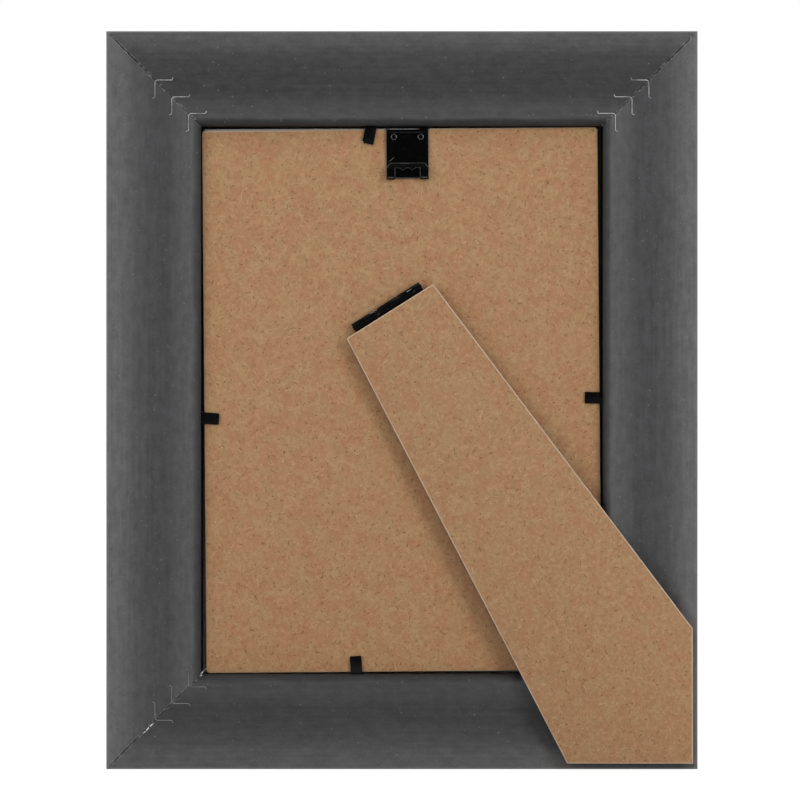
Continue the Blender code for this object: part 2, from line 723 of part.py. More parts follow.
def build():
    """Build the whole frame."""
    clear_scene()
    foam = material("grey_foam_moulding", (0.055, 0.055, 0.057), 0.55)
    board = material("fibreboard", (0.33, 0.20, 0.11), 0.85)
    black_steel = material("black_steel", (0.012, 0.012, 0.013), 0.35, 0.6)
    bright_steel = material("bright_steel", (0.55, 0.56, 0.57), 0.35, 1.0)
    clear_glass = material("clear_glass", (0.95, 0.98, 0.97), 0.03, 0.0, 1.0)
    white_paper = material("white_paper", (0.86, 0.86, 0.84), 0.9)

    mouldings = {side: moulding(side, foam) for side in SIDE_TURNS}
    for corner in CORNER_TURNS:
        v_nails(corner, mouldings, bright_steel)
    for side in SIDE_TURNS:
        tab(side, mouldings[side], black_steel)
    glazing(clear_glass)
    paper_insert(white_paper)

    panel_place = anchor("panel_place", (0.0, REAR_Y + PANEL_REAR, MIDDLE_HEIGHT), (0.0, PANEL_TURN, 0.0))
    hinge_place = anchor("hinge_place", hinge_middle(), (0.0, LEG_LEAN, 0.0))
    leg_place = anchor("leg_place", hinge_middle(), (leg_rest_tilt(), LEG_LEAN, 0.0))
    panel = back_panel(panel_place, board)
    hanger(panel_place, panel, black_steel, bright_steel)
    leg = easel_leg(leg_place, board)
    hinge(hinge_place, leg_place, panel, leg, black_steel)


build()
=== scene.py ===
"""Looks of the wide-moulding photo frame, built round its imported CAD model.

Every length is in metres. The frame stands on its lower edge, its front faces -Y and its back
faces +Y. Left and right are as seen from behind, so left is +X. A depth is counted from the
moulding's rear plane and is negative towards the front.
"""

import json
import logging
import math
from dataclasses import dataclass, replace
from enum import Enum

import bmesh
import bpy
from mathutils import Euler, Matrix, Vector


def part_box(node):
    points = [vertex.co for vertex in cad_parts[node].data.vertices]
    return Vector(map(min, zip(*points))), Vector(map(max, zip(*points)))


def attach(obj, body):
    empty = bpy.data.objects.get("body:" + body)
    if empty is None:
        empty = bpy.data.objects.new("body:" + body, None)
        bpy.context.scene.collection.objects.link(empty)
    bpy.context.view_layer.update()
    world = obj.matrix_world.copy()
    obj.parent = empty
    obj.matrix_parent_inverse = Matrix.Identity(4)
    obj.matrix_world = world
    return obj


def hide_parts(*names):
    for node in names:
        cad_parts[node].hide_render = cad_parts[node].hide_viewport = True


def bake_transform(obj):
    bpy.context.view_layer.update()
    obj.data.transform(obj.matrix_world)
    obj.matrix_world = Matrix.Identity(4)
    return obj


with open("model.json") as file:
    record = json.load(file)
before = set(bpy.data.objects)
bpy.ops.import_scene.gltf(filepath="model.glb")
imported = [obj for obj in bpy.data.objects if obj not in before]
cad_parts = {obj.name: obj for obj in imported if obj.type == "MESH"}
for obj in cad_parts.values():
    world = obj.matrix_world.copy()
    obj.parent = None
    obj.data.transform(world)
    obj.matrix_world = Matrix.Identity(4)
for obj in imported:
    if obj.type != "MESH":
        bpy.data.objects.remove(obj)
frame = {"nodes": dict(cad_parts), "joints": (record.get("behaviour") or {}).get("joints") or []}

Color = tuple[float, float, float]
Point = tuple[float, float]
Place = tuple[float, float, float]

LOG = logging.getLogger("photo_frame")
QUARTER = math.pi / 2
ORIGIN = (0.0, 0.0, 0.0)
WHITE = (1.0, 1.0, 1.0)
MERGE_DISTANCE = 1e-7


class Side(Enum):
    """The sides of the frame, by the quarter turns about Y that bring the top side to each."""

    TOP = 0
    LEFT = 1
    BOTTOM = 2
    RIGHT = 3

    @property
    def label(self) -> str:
        """The side's name in the CAD nodes."""
        return self.name.lower()

    @property
    def turn(self) -> float:
        """The side's turn about Y."""
        return self.value * QUARTER


class Corner(Enum):
    """The corners of the frame: quarter turns from the top left, and the signs of X and Z."""

    TOP_LEFT = (0, 1, 1)
    BOTTOM_LEFT = (1, 1, -1)
    BOTTOM_RIGHT = (2, -1, -1)
    TOP_RIGHT = (3, -1, 1)

    @property
    def label(self) -> str:
        """The corner's name in the CAD nodes."""
        return self.name.lower()


@dataclass(frozen=True)
class Layout:
    """Places that the sub-assemblies share, measured on the CAD nodes."""

    half_width: float
    half_height: float
    rear: float
    panel_rear: float
    hinge: Vector

    @classmethod
    def measured(cls) -> "Layout":
        """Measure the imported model.

        Returns:
            The layout of this frame.
        """
        side_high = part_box("moulding_left")[1]
        top_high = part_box("moulding_top")[1]
        return cls(
            half_width=side_high.x,
            half_height=top_high.z / 2,
            rear=top_high.y,
            panel_rear=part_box("back_panel")[1].y,
            hinge=joint_place("leg_swing"),
        )

    @property
    def middle(self) -> Vector:
        """The middle of the frame, in the plane y = 0."""
        return Vector((0.0, 0.0, self.half_height))

    def half_sizes(self, side: Side) -> Point:
        """Half of a side's own length, and half of the frame's size across it."""
        sizes = (self.half_width, self.half_height)
        return sizes[::-1] if side.value % 2 else sizes


def joint_place(name: str) -> Vector:
    """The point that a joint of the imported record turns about."""
    return Vector(next(joint["pos_m"] for joint in frame["joints"] if joint["name"] == name))


def sizes_of(part: object, *names: str) -> dict[str, object]:
    """Fields of a sub-assembly, under the labels that a shape tree's inputs have."""
    return {name.replace("_", " ").title(): getattr(part, name) for name in names}


def linked(name: str, data: bpy.types.ID) -> bpy.types.Object:
    """Put new data in the scene as an object.

    Args:
        name: The object's name.
        data: What it shows.

    Returns:
        The object.
    """
    made = bpy.data.objects.new(name, data)
    bpy.context.scene.collection.objects.link(made)
    return made


def baked(carrier: bpy.types.Object, *helpers: bpy.types.Object) -> bpy.types.Mesh:
    """Turn an object and its modifiers into a plain mesh.

    Args:
        carrier: The object, which is used up.
        helpers: Objects that its modifiers refer to, which are used up too.

    Returns:
        The mesh.
    """
    depsgraph = bpy.context.evaluated_depsgraph_get()
    mesh = bpy.data.meshes.new_from_object(carrier.evaluated_get(depsgraph), depsgraph=depsgraph)
    carrier.modifiers.clear()
    for made in (carrier, *helpers):
        bpy.data.objects.remove(made)
    return mesh


# Node trees


@dataclass(frozen=True)
class Signal:
    """What comes out of a node: its first output in use, or the one that has this name."""

    graph: "Graph"
    node: bpy.types.Node
    name: str = ""

    @property
    def socket(self) -> bpy.types.NodeSocket:
        """The output."""
        outputs = self.node.outputs
        return outputs[self.name] if self.name else next(out for out in outputs if out.enabled)

    def __getitem__(self, name: str) -> "Signal":
        """The same node's output of another name."""
        return Signal(self.graph, self.node, name)

    def __add__(self, other: object) -> "Signal":
        """Add a number or a signal."""
        return self.step("ADD", other)

    def __sub__(self, other: object) -> "Signal":
        """Take a number or a signal away."""
        return self.step("SUBTRACT", other)

    def __rsub__(self, other: object) -> "Signal":
        """Take this away from a number."""
        return self.graph.math("SUBTRACT", other, self)

    def __mul__(self, other: object) -> "Signal":
        """Multiply by a number or a signal."""
        return self.step("MULTIPLY", other)

    def __truediv__(self, other: object) -> "Signal":
        """Divide by a number or a signal."""
        return self.step("DIVIDE", other)

    def __neg__(self) -> "Signal":
        """Change the sign."""
        return self * -1.0

    def __abs__(self) -> "Signal":
        """Drop the sign."""
        return self.step("ABSOLUTE")

    def most(self, other: object) -> "Signal":
        """The larger of this and another."""
        return self.step("MAXIMUM", other)

    def step(self, operation: str, other: object = None) -> "Signal":
        """Add one step of arithmetic."""
        return self.graph.math(operation, self, other)

    def ranged(self, low: object, high: object, start: object = 0.0, end: object = 1.0) -> "Signal":
        """Map from low and high to start and end, and hold it there outside them."""
        return self.graph.add("ShaderNodeMapRange", self, low, high, start, end)

    def mixed(self, start: object, end: object) -> "Signal":
        """Mix two colours, with this as the second one's share."""
        return self.graph.add("ShaderNodeMix", self, start, end, data_type="RGBA")


class Graph:
    """A node tree being put together."""

    def __init__(self, tree: bpy.types.NodeTree) -> None:
        """Start on a tree."""
        self.tree = tree

    def feed(self, socket: bpy.types.NodeSocket, value: object) -> None:
        """Link a value into an input, or write it there.

        Args:
            socket: The input.
            value: A signal, a plain value, or None to skip.
        """
        if isinstance(value, Signal):
            self.tree.links.new(value.socket, socket)
        elif socket.type == "RGBA" and isinstance(value, tuple):
            socket.default_value = (*value, 1.0)
        elif value is not None:
            socket.default_value = value

    def add(self, kind: str, *values: object, named: dict | None = None, **settings: object) -> Signal:
        """Add a node.

        Args:
            kind: The node's type.
            values: Values for its inputs in use, in their order.
            named: Values for inputs by name.
            settings: The node's own settings, which are set first.

        Returns:
            What comes out of it.
        """
        node = self.tree.nodes.new(kind)
        for name, value in settings.items():
            setattr(node, name, value)
        for socket, value in zip([socket for socket in node.inputs if socket.enabled], values):
            self.feed(socket, value)
        for name, value in (named or {}).items():
            self.feed(node.inputs[name], value)
        return Signal(self, node)

    def math(self, operation: str, first: object, second: object = None) -> Signal:
        """Add one step of arithmetic."""
        return self.add("ShaderNodeMath", first, second, operation=operation)

    def vectors(self, operation: str, first: object, second: object) -> Signal:
        """Add one step of vector arithmetic."""
        return self.add("ShaderNodeVectorMath", first, second, operation=operation)

    def scaled(self, vector: object, factor: object) -> Signal:
        """Multiply a vector or a colour by a number."""
        return self.add("ShaderNodeVectorMath", vector, named={"Scale": factor}, operation="SCALE")

    def vector(self, x: object, y: object, z: object) -> Signal:
        """Put a vector together."""
        return self.add("ShaderNodeCombineXYZ", x, y, z)

    def parts(self, vector: object) -> list[Signal]:
        """Take a vector apart."""
        apart = self.add("ShaderNodeSeparateXYZ", vector)
        return [apart[axis] for axis in "XYZ"]

    def turned(self, vector: object, angle: object, axis: str = "Y") -> Signal:
        """Turn a vector about an axis."""
        return self.add("ShaderNodeVectorRotate", vector, ORIGIN, angle, rotation_type=f"{axis}_AXIS")


class ShapeTree(Graph):
    """A Geometry Nodes tree with a named input for each of its sizes, places and finishes."""

    KINDS = {
        float: "NodeSocketFloat",
        int: "NodeSocketInt",
        tuple: "NodeSocketVector",
        bpy.types.Material: "NodeSocketMaterial",
    }

    def __init__(self, name: str, sizes: dict[str, object]) -> None:
        """Start a tree.

        Args:
            name: The tree's name.
            sizes: A value for each input after the shape itself, which shows what kind it is.
        """
        super().__init__(bpy.data.node_groups.new(name, "GeometryNodeTree"))
        for way in ("INPUT", "OUTPUT"):
            self.tree.interface.new_socket("Shape", in_out=way, socket_type="NodeSocketGeometry")
        for label, value in sizes.items():
            self.tree.interface.new_socket(label, in_out="INPUT", socket_type=self.KINDS[type(value)])
        self.given = Signal(self, self.tree.nodes.new("NodeGroupInput"))

    def node(self, kind: str, *values: object, **settings: object) -> Signal:
        """Add a node that works on shapes."""
        return self.add(f"GeometryNode{kind}", *values, **settings)

    def noted(self, name: str, kind: str = "FLOAT") -> Signal:
        """Read a note that was left on the points."""
        return self.node("InputNamedAttribute", name, data_type=kind)

    def note(self, shape: Signal, name: str, value: Signal, kind: str = "FLOAT") -> Signal:
        """Leave a note on each point of a shape."""
        return self.node("StoreNamedAttribute", shape, None, name, value, data_type=kind)

    def strip(self, width: object, height: object, radius: object) -> Signal:
        """The section of a strip with rounded edges."""
        flat = self.node("CurvePrimitiveQuadrilateral", width, height)
        return self.node("FilletCurve", flat, 3, radius, True, mode="POLY")

    def swept(self, section: Signal, steps: int) -> Signal:
        """Sweep a closed section along a straight rail, with closed ends.

        Args:
            section: The section's curve.
            steps: How many places the rail has.

        Returns:
            The swept shape, which has each point's share of the way noted on it.
        """
        line = self.node("CurvePrimitiveLine", ORIGIN, (0.0, 0.0, 1.0))
        rail = self.node("ResampleCurve", line, None, steps)
        rail = self.note(rail, "share", self.node("SplineParameter"))
        return self.node("CurveToMesh", rail, section, None, True)

    def set_out(self, shape: Signal, *turns: object) -> Signal:
        """Set a shape at each point that the tree starts from.

        Args:
            shape: The shape.
            turns: Its turns about the three axes, or none.

        Returns:
            The shapes.
        """
        turn = self.add("FunctionNodeEulerToRotation", self.vector(*turns)) if turns else None
        return self.node("InstanceOnPoints", self.given["Shape"], None, shape, None, None, turn)

    def finish(self, shape: Signal, *finishes: tuple[str, Signal | None]) -> None:
        """Close the tree: real points only, then a finish for each part of them.

        Args:
            shape: The last shape.
            finishes: For each finish, the name of its input and what it is given to, or None for all.
        """
        shape = self.node("RealizeInstances", shape)
        for label, chosen in finishes:
            shape = self.node("SetMaterial", shape, chosen, self.given[label])
        self.feed(self.tree.nodes.new("NodeGroupOutput").inputs[0], shape)

    def grown(self, start: bpy.types.Mesh, sizes: dict[str, object]) -> bpy.types.Mesh:
        """Run the tree once, and keep what it makes as a plain mesh.

        Args:
            start: The mesh that the tree starts from.
            sizes: A value for each input.

        Returns:
            The mesh, with its faces outwards.
        """
        carrier = linked(self.tree.name, start)
        modifier = carrier.modifiers.new(self.tree.name, "NODES")
        modifier.node_group = self.tree
        for item in self.tree.interface.items_tree:
            if item.name in sizes:
                modifier[item.identifier] = sizes[item.name]
        mesh = baked(carrier)
        bm = bmesh.new()
        bm.from_mesh(mesh)
        return written(bm, mesh)


class FinishGraph(Graph):
    """The node tree of one material, on the object's own coordinates."""

    def __init__(self, name: str, turn: float = 0.0, middle: Vector | None = None) -> None:
        """Start a material.

        Args:
            name: The material's name.
            turn: A turn about Y of what it is on, which the pattern follows.
            middle: The middle of that turn.
        """
        self.material = bpy.data.materials.new(name)
        self.material.use_nodes = True
        self.material.node_tree.nodes.clear()
        super().__init__(self.material.node_tree)
        self.object_coords = self.add("ShaderNodeTexCoord")["Object"]
        self.coords = self.framed(self.object_coords, turn, middle or Vector())

    def framed(self, vector: Signal, turn: float, middle: Vector) -> Signal:
        """Coordinates that start at a place and are turned about Y."""
        back = Euler((0.0, -turn, 0.0))
        return self.add("ShaderNodeMapping", vector, tuple(-(back.to_matrix() @ middle)), tuple(back))

    def noise(self, size: float, detail: float = 2.0, roughness: float = 0.5) -> Signal:
        """Cloudy noise with grains of a size in metres."""
        return self.add("ShaderNodeTexNoise", self.coords, 1 / size, detail, roughness)

    def grain(self, x: float, y: float, z: float, detail: float = 2.0) -> Signal:
        """Noise whose grains are drawn out to these lengths along the three axes."""
        drawn = self.add("ShaderNodeMapping", self.coords, None, None, (1 / x, 1 / y, 1 / z))
        return self.add("ShaderNodeTexNoise", drawn, 1.0, detail, 0.5)

    def specks(self, size: float, radius: float, amount: float) -> Signal:
        """Small round specks: where they are.

        Args:
            size: The mean distance between places that can have one.
            radius: The largest radius of a speck.
            amount: The share of the places that do have one.

        Returns:
            A mask from 0 to 1.
        """
        cells = self.add("ShaderNodeTexVoronoi", self.coords, 1 / size)
        reach = self.parts(cells["Color"])[0].ranged(1 - amount, 1.0, 0.0, radius / size)
        return (reach - cells["Distance"]).ranged(0.0, 0.3 * radius / size)

    def fibres(self, cell: float, length: float, width: float, amount: float) -> Signal:
        """Short fibres lying every way in the plane of the board: where they are.

        Args:
            cell: The mean distance between places that can have one.
            length: A fibre's length.
            width: Its width.
            amount: The share of the places that do have one.

        Returns:
            A mask from 0 to 1.
        """
        across, _, up = self.parts(self.coords)
        flat = self.vector(across, up, 0.0)
        wander = self.add("ShaderNodeTexNoise", flat, 0.7 / length, 1.0, 0.5)["Color"]
        swing = self.vectors("SUBTRACT", wander, (0.5, 0.5, 0.5))
        flat = self.vectors("ADD", flat, self.scaled(swing, 0.6 * length))
        cells = self.add("ShaderNodeTexVoronoi", flat, 1 / cell, voronoi_dimensions="2D")
        turn_draw, length_draw, place_draw = self.parts(cells["Color"])
        away = self.vectors("SUBTRACT", flat, cells["Position"])
        along, aside, _ = self.parts(self.turned(away, turn_draw * math.pi, "Z"))
        reach = (length_draw + 0.4) * (length / 2)
        ends = (reach - abs(along)).ranged(0.0, 0.2 * length)
        sides = abs(aside).ranged(0.55 * width, 0.2 * width)
        return ends * sides * place_draw.step("LESS_THAN", amount)

    def bumped(self, *layers: tuple[Signal, float]) -> Signal:
        """Stack relief layers.

        Args:
            layers: For each layer, its height from 0 to 1 and how high 1 is, in metres.

        Returns:
            The last relief node.
        """
        under = None
        for height, rise in layers:
            named = {"Strength": 1.0, "Distance": rise, "Height": height, "Normal": under}
            under = self.add("ShaderNodeBump", named=named)
        return under

    def close(self, color: object, roughness: Signal, relief: Signal, **plain: float) -> bpy.types.Material:
        """Give the material its shader.

        Args:
            color: Its colour.
            roughness: Its roughness.
            relief: Its relief node.
            plain: Plain values for other inputs of the shader, with _ for a space.

        Returns:
            The finished material.
        """
        named = {"Base Color": color, "Roughness": roughness, "Normal": relief}
        named.update({name.replace("_", " "): value for name, value in plain.items()})
        shader = self.add("ShaderNodeBsdfPrincipled", named=named)
        self.add("ShaderNodeOutputMaterial", shader)
        return self.material


# Finishes


@dataclass(frozen=True)
class RawFoam:
    """The bare back of the foamed-plastic moulding, with its extrusion streaks, and painted light and shade
    across it: a lighter outer land, a darker scoop, a lighter rebate flank and a dark inner edge.
    """

    # Tones across the back from the outer edge inwards: painted light and shade, lighter on the land and the
    # rebate flank, darker in the scoop and on the inner edge.
    bands: tuple[tuple[float, Color], ...] = (
        (0.0012, (0.1240, 0.1230, 0.1230)),
        (0.0046, (0.1125, 0.1120, 0.1120)),
        (0.0058, (0.1035, 0.1025, 0.1030)),
        (0.0092, (0.0780, 0.0775, 0.0780)),
        (0.0150, (0.0620, 0.0610, 0.0640)),
        (0.0200, (0.0585, 0.0575, 0.0605)),
        (0.0236, (0.0760, 0.0755, 0.0770)),
        (0.0283, (0.0900, 0.0895, 0.0905)),
        (0.0295, (0.0470, 0.0480, 0.0500)),
        (0.0303, (0.0370, 0.0385, 0.0410)),
    )
    # Painted shade down in the rebate: near black on the left and right sides, less dark on the top and
    # bottom sides.
    rebate_color: Color = (0.0090, 0.0090, 0.0090)
    level_rebate_color: Color = (0.0480, 0.0470, 0.0430)
    rebate_depths: Point = (0.0028, 0.0050)
    pit_color: Color = (0.030, 0.030, 0.030)
    # Pale specks of the foam; the same colour makes the painted highlights along the outer edge and the
    # mitres.
    speck_color: Color = (0.260, 0.260, 0.265)
    scuffed_color: Color = (0.74, 0.74, 0.72)
    chips: tuple[Place, Place] = ((0.0838, 0.0133, 0.0026), (0.0662, 0.0316, 0.0012))
    # Painted shade by side: the top and bottom sides darker than the left and right, as the light falls on
    # them.
    shades: tuple[float, float, float, float] = (0.71, 1.0, 0.75, 1.0)

    def made(self, side: Side, layout: Layout) -> bpy.types.Material:
        """Make the finish for one side, so that its streaks run along that side.

        Args:
            side: The side of the frame.
            layout: The frame's layout.

        Returns:
            The material.
        """
        graph = FinishGraph(f"raw_foam_{side.label}", side.turn, layout.middle)
        half_length, half_span = layout.half_sizes(side)
        along, back, outward = graph.parts(graph.coords)
        across = half_span - outward
        streaks = graph.grain(0.030, 0.0014, 0.0009, 3.0)
        blotches = graph.grain(0.0040, 0.0030, 0.0022, 4.0)
        grain = graph.noise(0.0009, 3.0, 0.65)
        cloud = graph.noise(0.0150, 3.0)
        even = streaks * 0.24 + blotches * 0.42 + grain * 0.34
        clouded = across + (cloud - 0.5) * 0.0016
        # Painted light and shade, band by band across the back.
        color = self.bands[0][1]
        for (start, _), (end, painted_band_color) in zip(self.bands, self.bands[1:]):
            color = clouded.ranged(start, end).mixed(color, painted_band_color)
        tone = even.ranged(0.38, 0.62, 0.80, 1.20)
        color = graph.scaled(color, tone * self.shades[side.value])
        crumbs = graph.noise(0.0010, 2.0, 0.7)
        specks = graph.specks(0.0016, 0.00034, 0.5).most(crumbs.ranged(0.70, 0.76))
        pits = crumbs.ranged(0.31, 0.25)
        color = (specks * 0.30).mixed(color, self.speck_color)
        color = (pits * 0.35).mixed(color, self.pit_color)
        # Painted highlight along the rounded outer edge.
        outer_edge_highlight = across.ranged(0.0009, 0.0004)
        color = (outer_edge_highlight * 0.25).mixed(color, self.speck_color)
        # Painted highlight along the edges at each mitre.
        from_mitre = abs(half_length - abs(along) - across)
        broken = graph.noise(0.0011, 2.0).ranged(0.50, 0.60)
        mitre_highlight = from_mitre.ranged(0.0007, 0.0003) * broken
        color = (mitre_highlight * 0.75).mixed(color, self.speck_color)
        color = self.chipped(graph, layout).mixed(color, self.scuffed_color)
        # Painted shade in the rebate, below a depth.
        shallow, deep = (layout.rear - depth for depth in self.rebate_depths)
        rebate_color = self.rebate_color if side.value % 2 else self.level_rebate_color
        color = back.ranged(shallow, deep).mixed(color, rebate_color)
        roughness = grain.ranged(0.3, 0.7, 0.50, 0.66)
        relief = graph.bumped((streaks, 0.00005), (grain, 0.00006), (specks, 0.00003))
        return graph.close(color, roughness, relief, Specular_IOR_Level=0.32)

    def chipped(self, graph: FinishGraph, layout: Layout) -> Signal:
        """Where the edges of the lower left mitre are chipped pale.

        Args:
            graph: The material's graph.
            layout: The frame's layout.

        Returns:
            A mask from 0 to 1.
        """
        x, _, z = graph.parts(graph.object_coords)
        line = abs(x + z - (layout.half_width - 0.00032)).ranged(0.00050, 0.00026)
        flat = graph.vector(x, 0.0, z)
        spots = []
        for chip_x, chip_z, reach in self.chips:
            away = graph.vectors("DISTANCE", flat, (chip_x, 0.0, chip_z))["Value"]
            spots.append(away.ranged(reach, 0.6 * reach))
        broken = graph.noise(0.0008, 2.0).ranged(0.44, 0.54)
        return line * spots[0].most(spots[1]) * broken


@dataclass(frozen=True)
class CharcoalLacquer:
    """The satin lacquer on the front and the outer edges of the moulding."""

    color: Color = (0.030, 0.031, 0.033)
    light_color: Color = (0.043, 0.044, 0.046)
    dust_color: Color = (0.16, 0.16, 0.16)

    def made(self, side: Side, layout: Layout) -> bpy.types.Material:
        """Make the finish for one side.

        Args:
            side: The side of the frame.
            layout: The frame's layout.

        Returns:
            The material.
        """
        graph = FinishGraph(f"charcoal_lacquer_{side.label}", side.turn, layout.middle)
        brushed = graph.grain(0.035, 0.0004, 0.0004, 3.0)
        cloud = graph.noise(0.012, 3.0)
        peel = graph.noise(0.0011, 2.0)
        even = brushed * 0.6 + cloud * 0.4
        color = even.ranged(0.35, 0.65).mixed(self.color, self.light_color)
        dust = graph.specks(0.004, 0.00012, 0.25)
        color = (dust * 0.5).mixed(color, self.dust_color)
        roughness = even.ranged(0.35, 0.65, 0.27, 0.38)
        relief = graph.bumped((peel, 0.000025), (brushed, 0.000008))
        return graph.close(color, roughness, relief, Coat_Weight=0.25, Coat_Roughness=0.18)


@dataclass(frozen=True)
class Fibreboard:
    """Pressed wood-fibre board: mottled tan, with dark and pale fibres, paler where it is sawn, partly as
    painted highlight, and with a painted highlight along its top edge where it has one.
    """

    tan: Color = (0.398, 0.222, 0.110)
    reddish: Color = (0.392, 0.196, 0.099)
    yellowish: Color = (0.395, 0.244, 0.119)
    dark_patch: Color = (0.305, 0.163, 0.078)
    pale_patch: Color = (0.490, 0.305, 0.165)
    dark_fibre: Color = (0.110, 0.050, 0.022)
    pale_fibre: Color = (0.600, 0.400, 0.240)
    # The sawn edge's colours, paler than the faces: partly sawn fibre, partly painted highlight.
    sawn_color: Color = (0.500, 0.340, 0.205)
    sawn_dark: Color = (0.330, 0.200, 0.110)
    # Painted highlight along the top edge.
    dusty_color: Color = (0.385, 0.330, 0.262)
    shift: float = 0.0
    dusty_above: float | None = None

    def started(self, name: str, turn: float, middle: Vector) -> FinishGraph:
        """Start one of the board's finishes."""
        return FinishGraph(name, turn, middle + Vector((self.shift, self.shift, self.shift)))

    def face(self, name: str, turn: float, middle: Vector) -> bpy.types.Material:
        """The finish of the board's faces.

        Args:
            name: The material's name.
            turn: The board's turn about Y.
            middle: The middle of that turn.

        Returns:
            The material.
        """
        graph = self.started(name, turn, middle)
        broad = graph.noise(0.0050, 3.0, 0.6)
        other = graph.noise(0.0085, 2.0)
        fine = graph.noise(0.0014, 3.0, 0.65)
        pores = graph.noise(0.00060, 2.0, 0.6)
        color = broad.ranged(0.42, 0.58).mixed(self.reddish, self.yellowish)
        color = other.ranged(0.35, 0.65, 0.1, 0.6).mixed(color, self.tan)
        color = fine.ranged(0.50, 0.68, 0.0, 0.45).mixed(color, self.pale_patch)
        color = fine.ranged(0.50, 0.34, 0.0, 0.48).mixed(color, self.dark_patch)
        color = pores.ranged(0.42, 0.22, 0.0, 0.60).mixed(color, self.dark_fibre)
        pale = graph.fibres(0.0022, 0.0013, 0.00036, 0.40).most(graph.fibres(0.0046, 0.0026, 0.00034, 0.30))
        color = (pale * 0.34).mixed(color, self.pale_fibre)
        dark = graph.fibres(0.0036, 0.0013, 0.00036, 0.34).most(graph.fibres(0.0024, 0.0007, 0.00046, 0.26))
        color = (dark * 0.62).mixed(color, self.dark_fibre)
        roughness = fine.ranged(0.3, 0.7, 0.78, 0.92)
        relief = graph.bumped((fine, 0.00006), (pores, 0.00004), (pale, 0.00002))
        return graph.close(self.dusted(graph, color), roughness, relief, Specular_IOR_Level=0.2)

    def sawn(self, name: str, turn: float, middle: Vector) -> bpy.types.Material:
        """The finish of the board's sawn edges, which are layered and paler, partly as sawn fibre and partly
        as painted highlight.

        Args:
            name: The material's name.
            turn: The board's turn about Y.
            middle: The middle of that turn.

        Returns:
            The material.
        """
        graph = self.started(name, turn, middle)
        layers = graph.grain(0.004, 0.0004, 0.004, 3.0)
        fluff = graph.noise(0.0005, 3.0, 0.65)
        even = layers * 0.6 + fluff * 0.4
        color = even.ranged(0.35, 0.62).mixed(self.sawn_dark, self.sawn_color)
        roughness = fluff.ranged(0.3, 0.7, 0.85, 0.97)
        relief = graph.bumped((layers, 0.00010), (fluff, 0.00008))
        return graph.close(self.dusted(graph, color), roughness, relief, Specular_IOR_Level=0.15)

    def dusted(self, graph: FinishGraph, color: Signal) -> Signal:
        """Paint a highlight along the board's top edge, in a band that narrows towards the right.

        Args:
            graph: The material's graph.
            color: The colour without dust.

        Returns:
            The colour with it, or the same where the board has no such highlight.
        """
        if self.dusty_above is None:
            return color
        across, _, up = graph.parts(graph.coords)
        start = (across + self.shift).ranged(0.062, -0.062, -0.0003, 0.0003)
        band = (up - (self.dusty_above - self.shift) - start).ranged(-0.00018, 0.00012)
        return (band * 0.85).mixed(color, self.dusty_color)


@dataclass(frozen=True)
class Rub:
    """A short painted highlight line on blackened steel: its middle, size, strength and turn about Y."""

    x: float
    z: float
    length: float
    width: float
    strength: float
    turn: float = 0.0


@dataclass(frozen=True)
class BlackSteel:
    """Blackened sheet steel with faint scratches and painted highlight lines."""

    name: str
    color: Color = (0.0012, 0.0012, 0.0013)
    rubbed_color: Color = (0.030, 0.030, 0.032)
    bare_color: Color = (0.36, 0.36, 0.35)
    smooth: float = 0.12
    dull: float = 0.22
    gloss: float = 0.22
    rubs: tuple[Rub, ...] = ()

    def made(self, turn: float, middle: Vector) -> bpy.types.Material:
        """Make the finish.

        Args:
            turn: The part's turn about Y.
            middle: The middle of that turn, from which its painted highlight lines are placed.

        Returns:
            The material.
        """
        graph = FinishGraph(self.name, turn, middle)
        scratches = graph.grain(0.0090, 0.0020, 0.00016, 2.0)
        crossed = graph.grain(0.00014, 0.0020, 0.0060, 2.0)
        cloud = graph.noise(0.0024, 3.0)
        hair = scratches.ranged(0.66, 0.76).most(crossed.ranged(0.68, 0.78))
        clouded = hair * cloud.ranged(0.48, 0.62)
        color = (clouded * 0.7).mixed(self.color, self.rubbed_color)
        patchy = graph.noise(0.0007, 2.0).ranged(0.35, 0.55, 0.55, 1.0)
        # Painted highlights, each a short pale line, broken up a little.
        for highlight in self.rubs:
            along, _, aside = graph.parts(graph.framed(graph.coords, highlight.turn, Vector((highlight.x, 0.0, highlight.z))))
            ends = abs(along).ranged(0.50 * highlight.length, 0.30 * highlight.length)
            sides = abs(aside).ranged(0.55 * highlight.width, 0.20 * highlight.width)
            color = (ends * sides * highlight.strength * patchy).mixed(color, self.bare_color)
        roughness = cloud.ranged(0.35, 0.65, self.smooth, self.dull)
        relief = graph.bumped((cloud, 0.00002), (graph.noise(0.0005), 0.000005))
        return graph.close(color, roughness, relief, Specular_IOR_Level=self.gloss)


@dataclass(frozen=True)
class BrightSteel:
    """Bare drawn steel, a little uneven in its polish, and darker below a height where it has one."""

    name: str
    color: Color
    dark_color: Color
    smooth: float
    dull: float
    uneven_size: float
    metallic: float = 0.9
    dull_below: float = 0.0

    def made(self) -> bpy.types.Material:
        """Make the finish.

        Returns:
            The material.
        """
        graph = FinishGraph(self.name)
        uneven = graph.noise(self.uneven_size, 3.0)
        grain = graph.noise(0.0003, 2.0)
        color = uneven.ranged(0.35, 0.6).mixed(self.dark_color, self.color)
        # Darker towards the bottom, below a height.
        if self.dull_below:
            low = graph.parts(graph.coords)[2].ranged(self.dull_below, 0.5 * self.dull_below, 0.0, 0.75)
            color = low.mixed(color, self.dark_color)
        roughness = uneven.ranged(0.35, 0.65, self.dull, self.smooth)
        return graph.close(color, roughness, graph.bumped((grain, 0.00001)), Metallic=self.metallic)


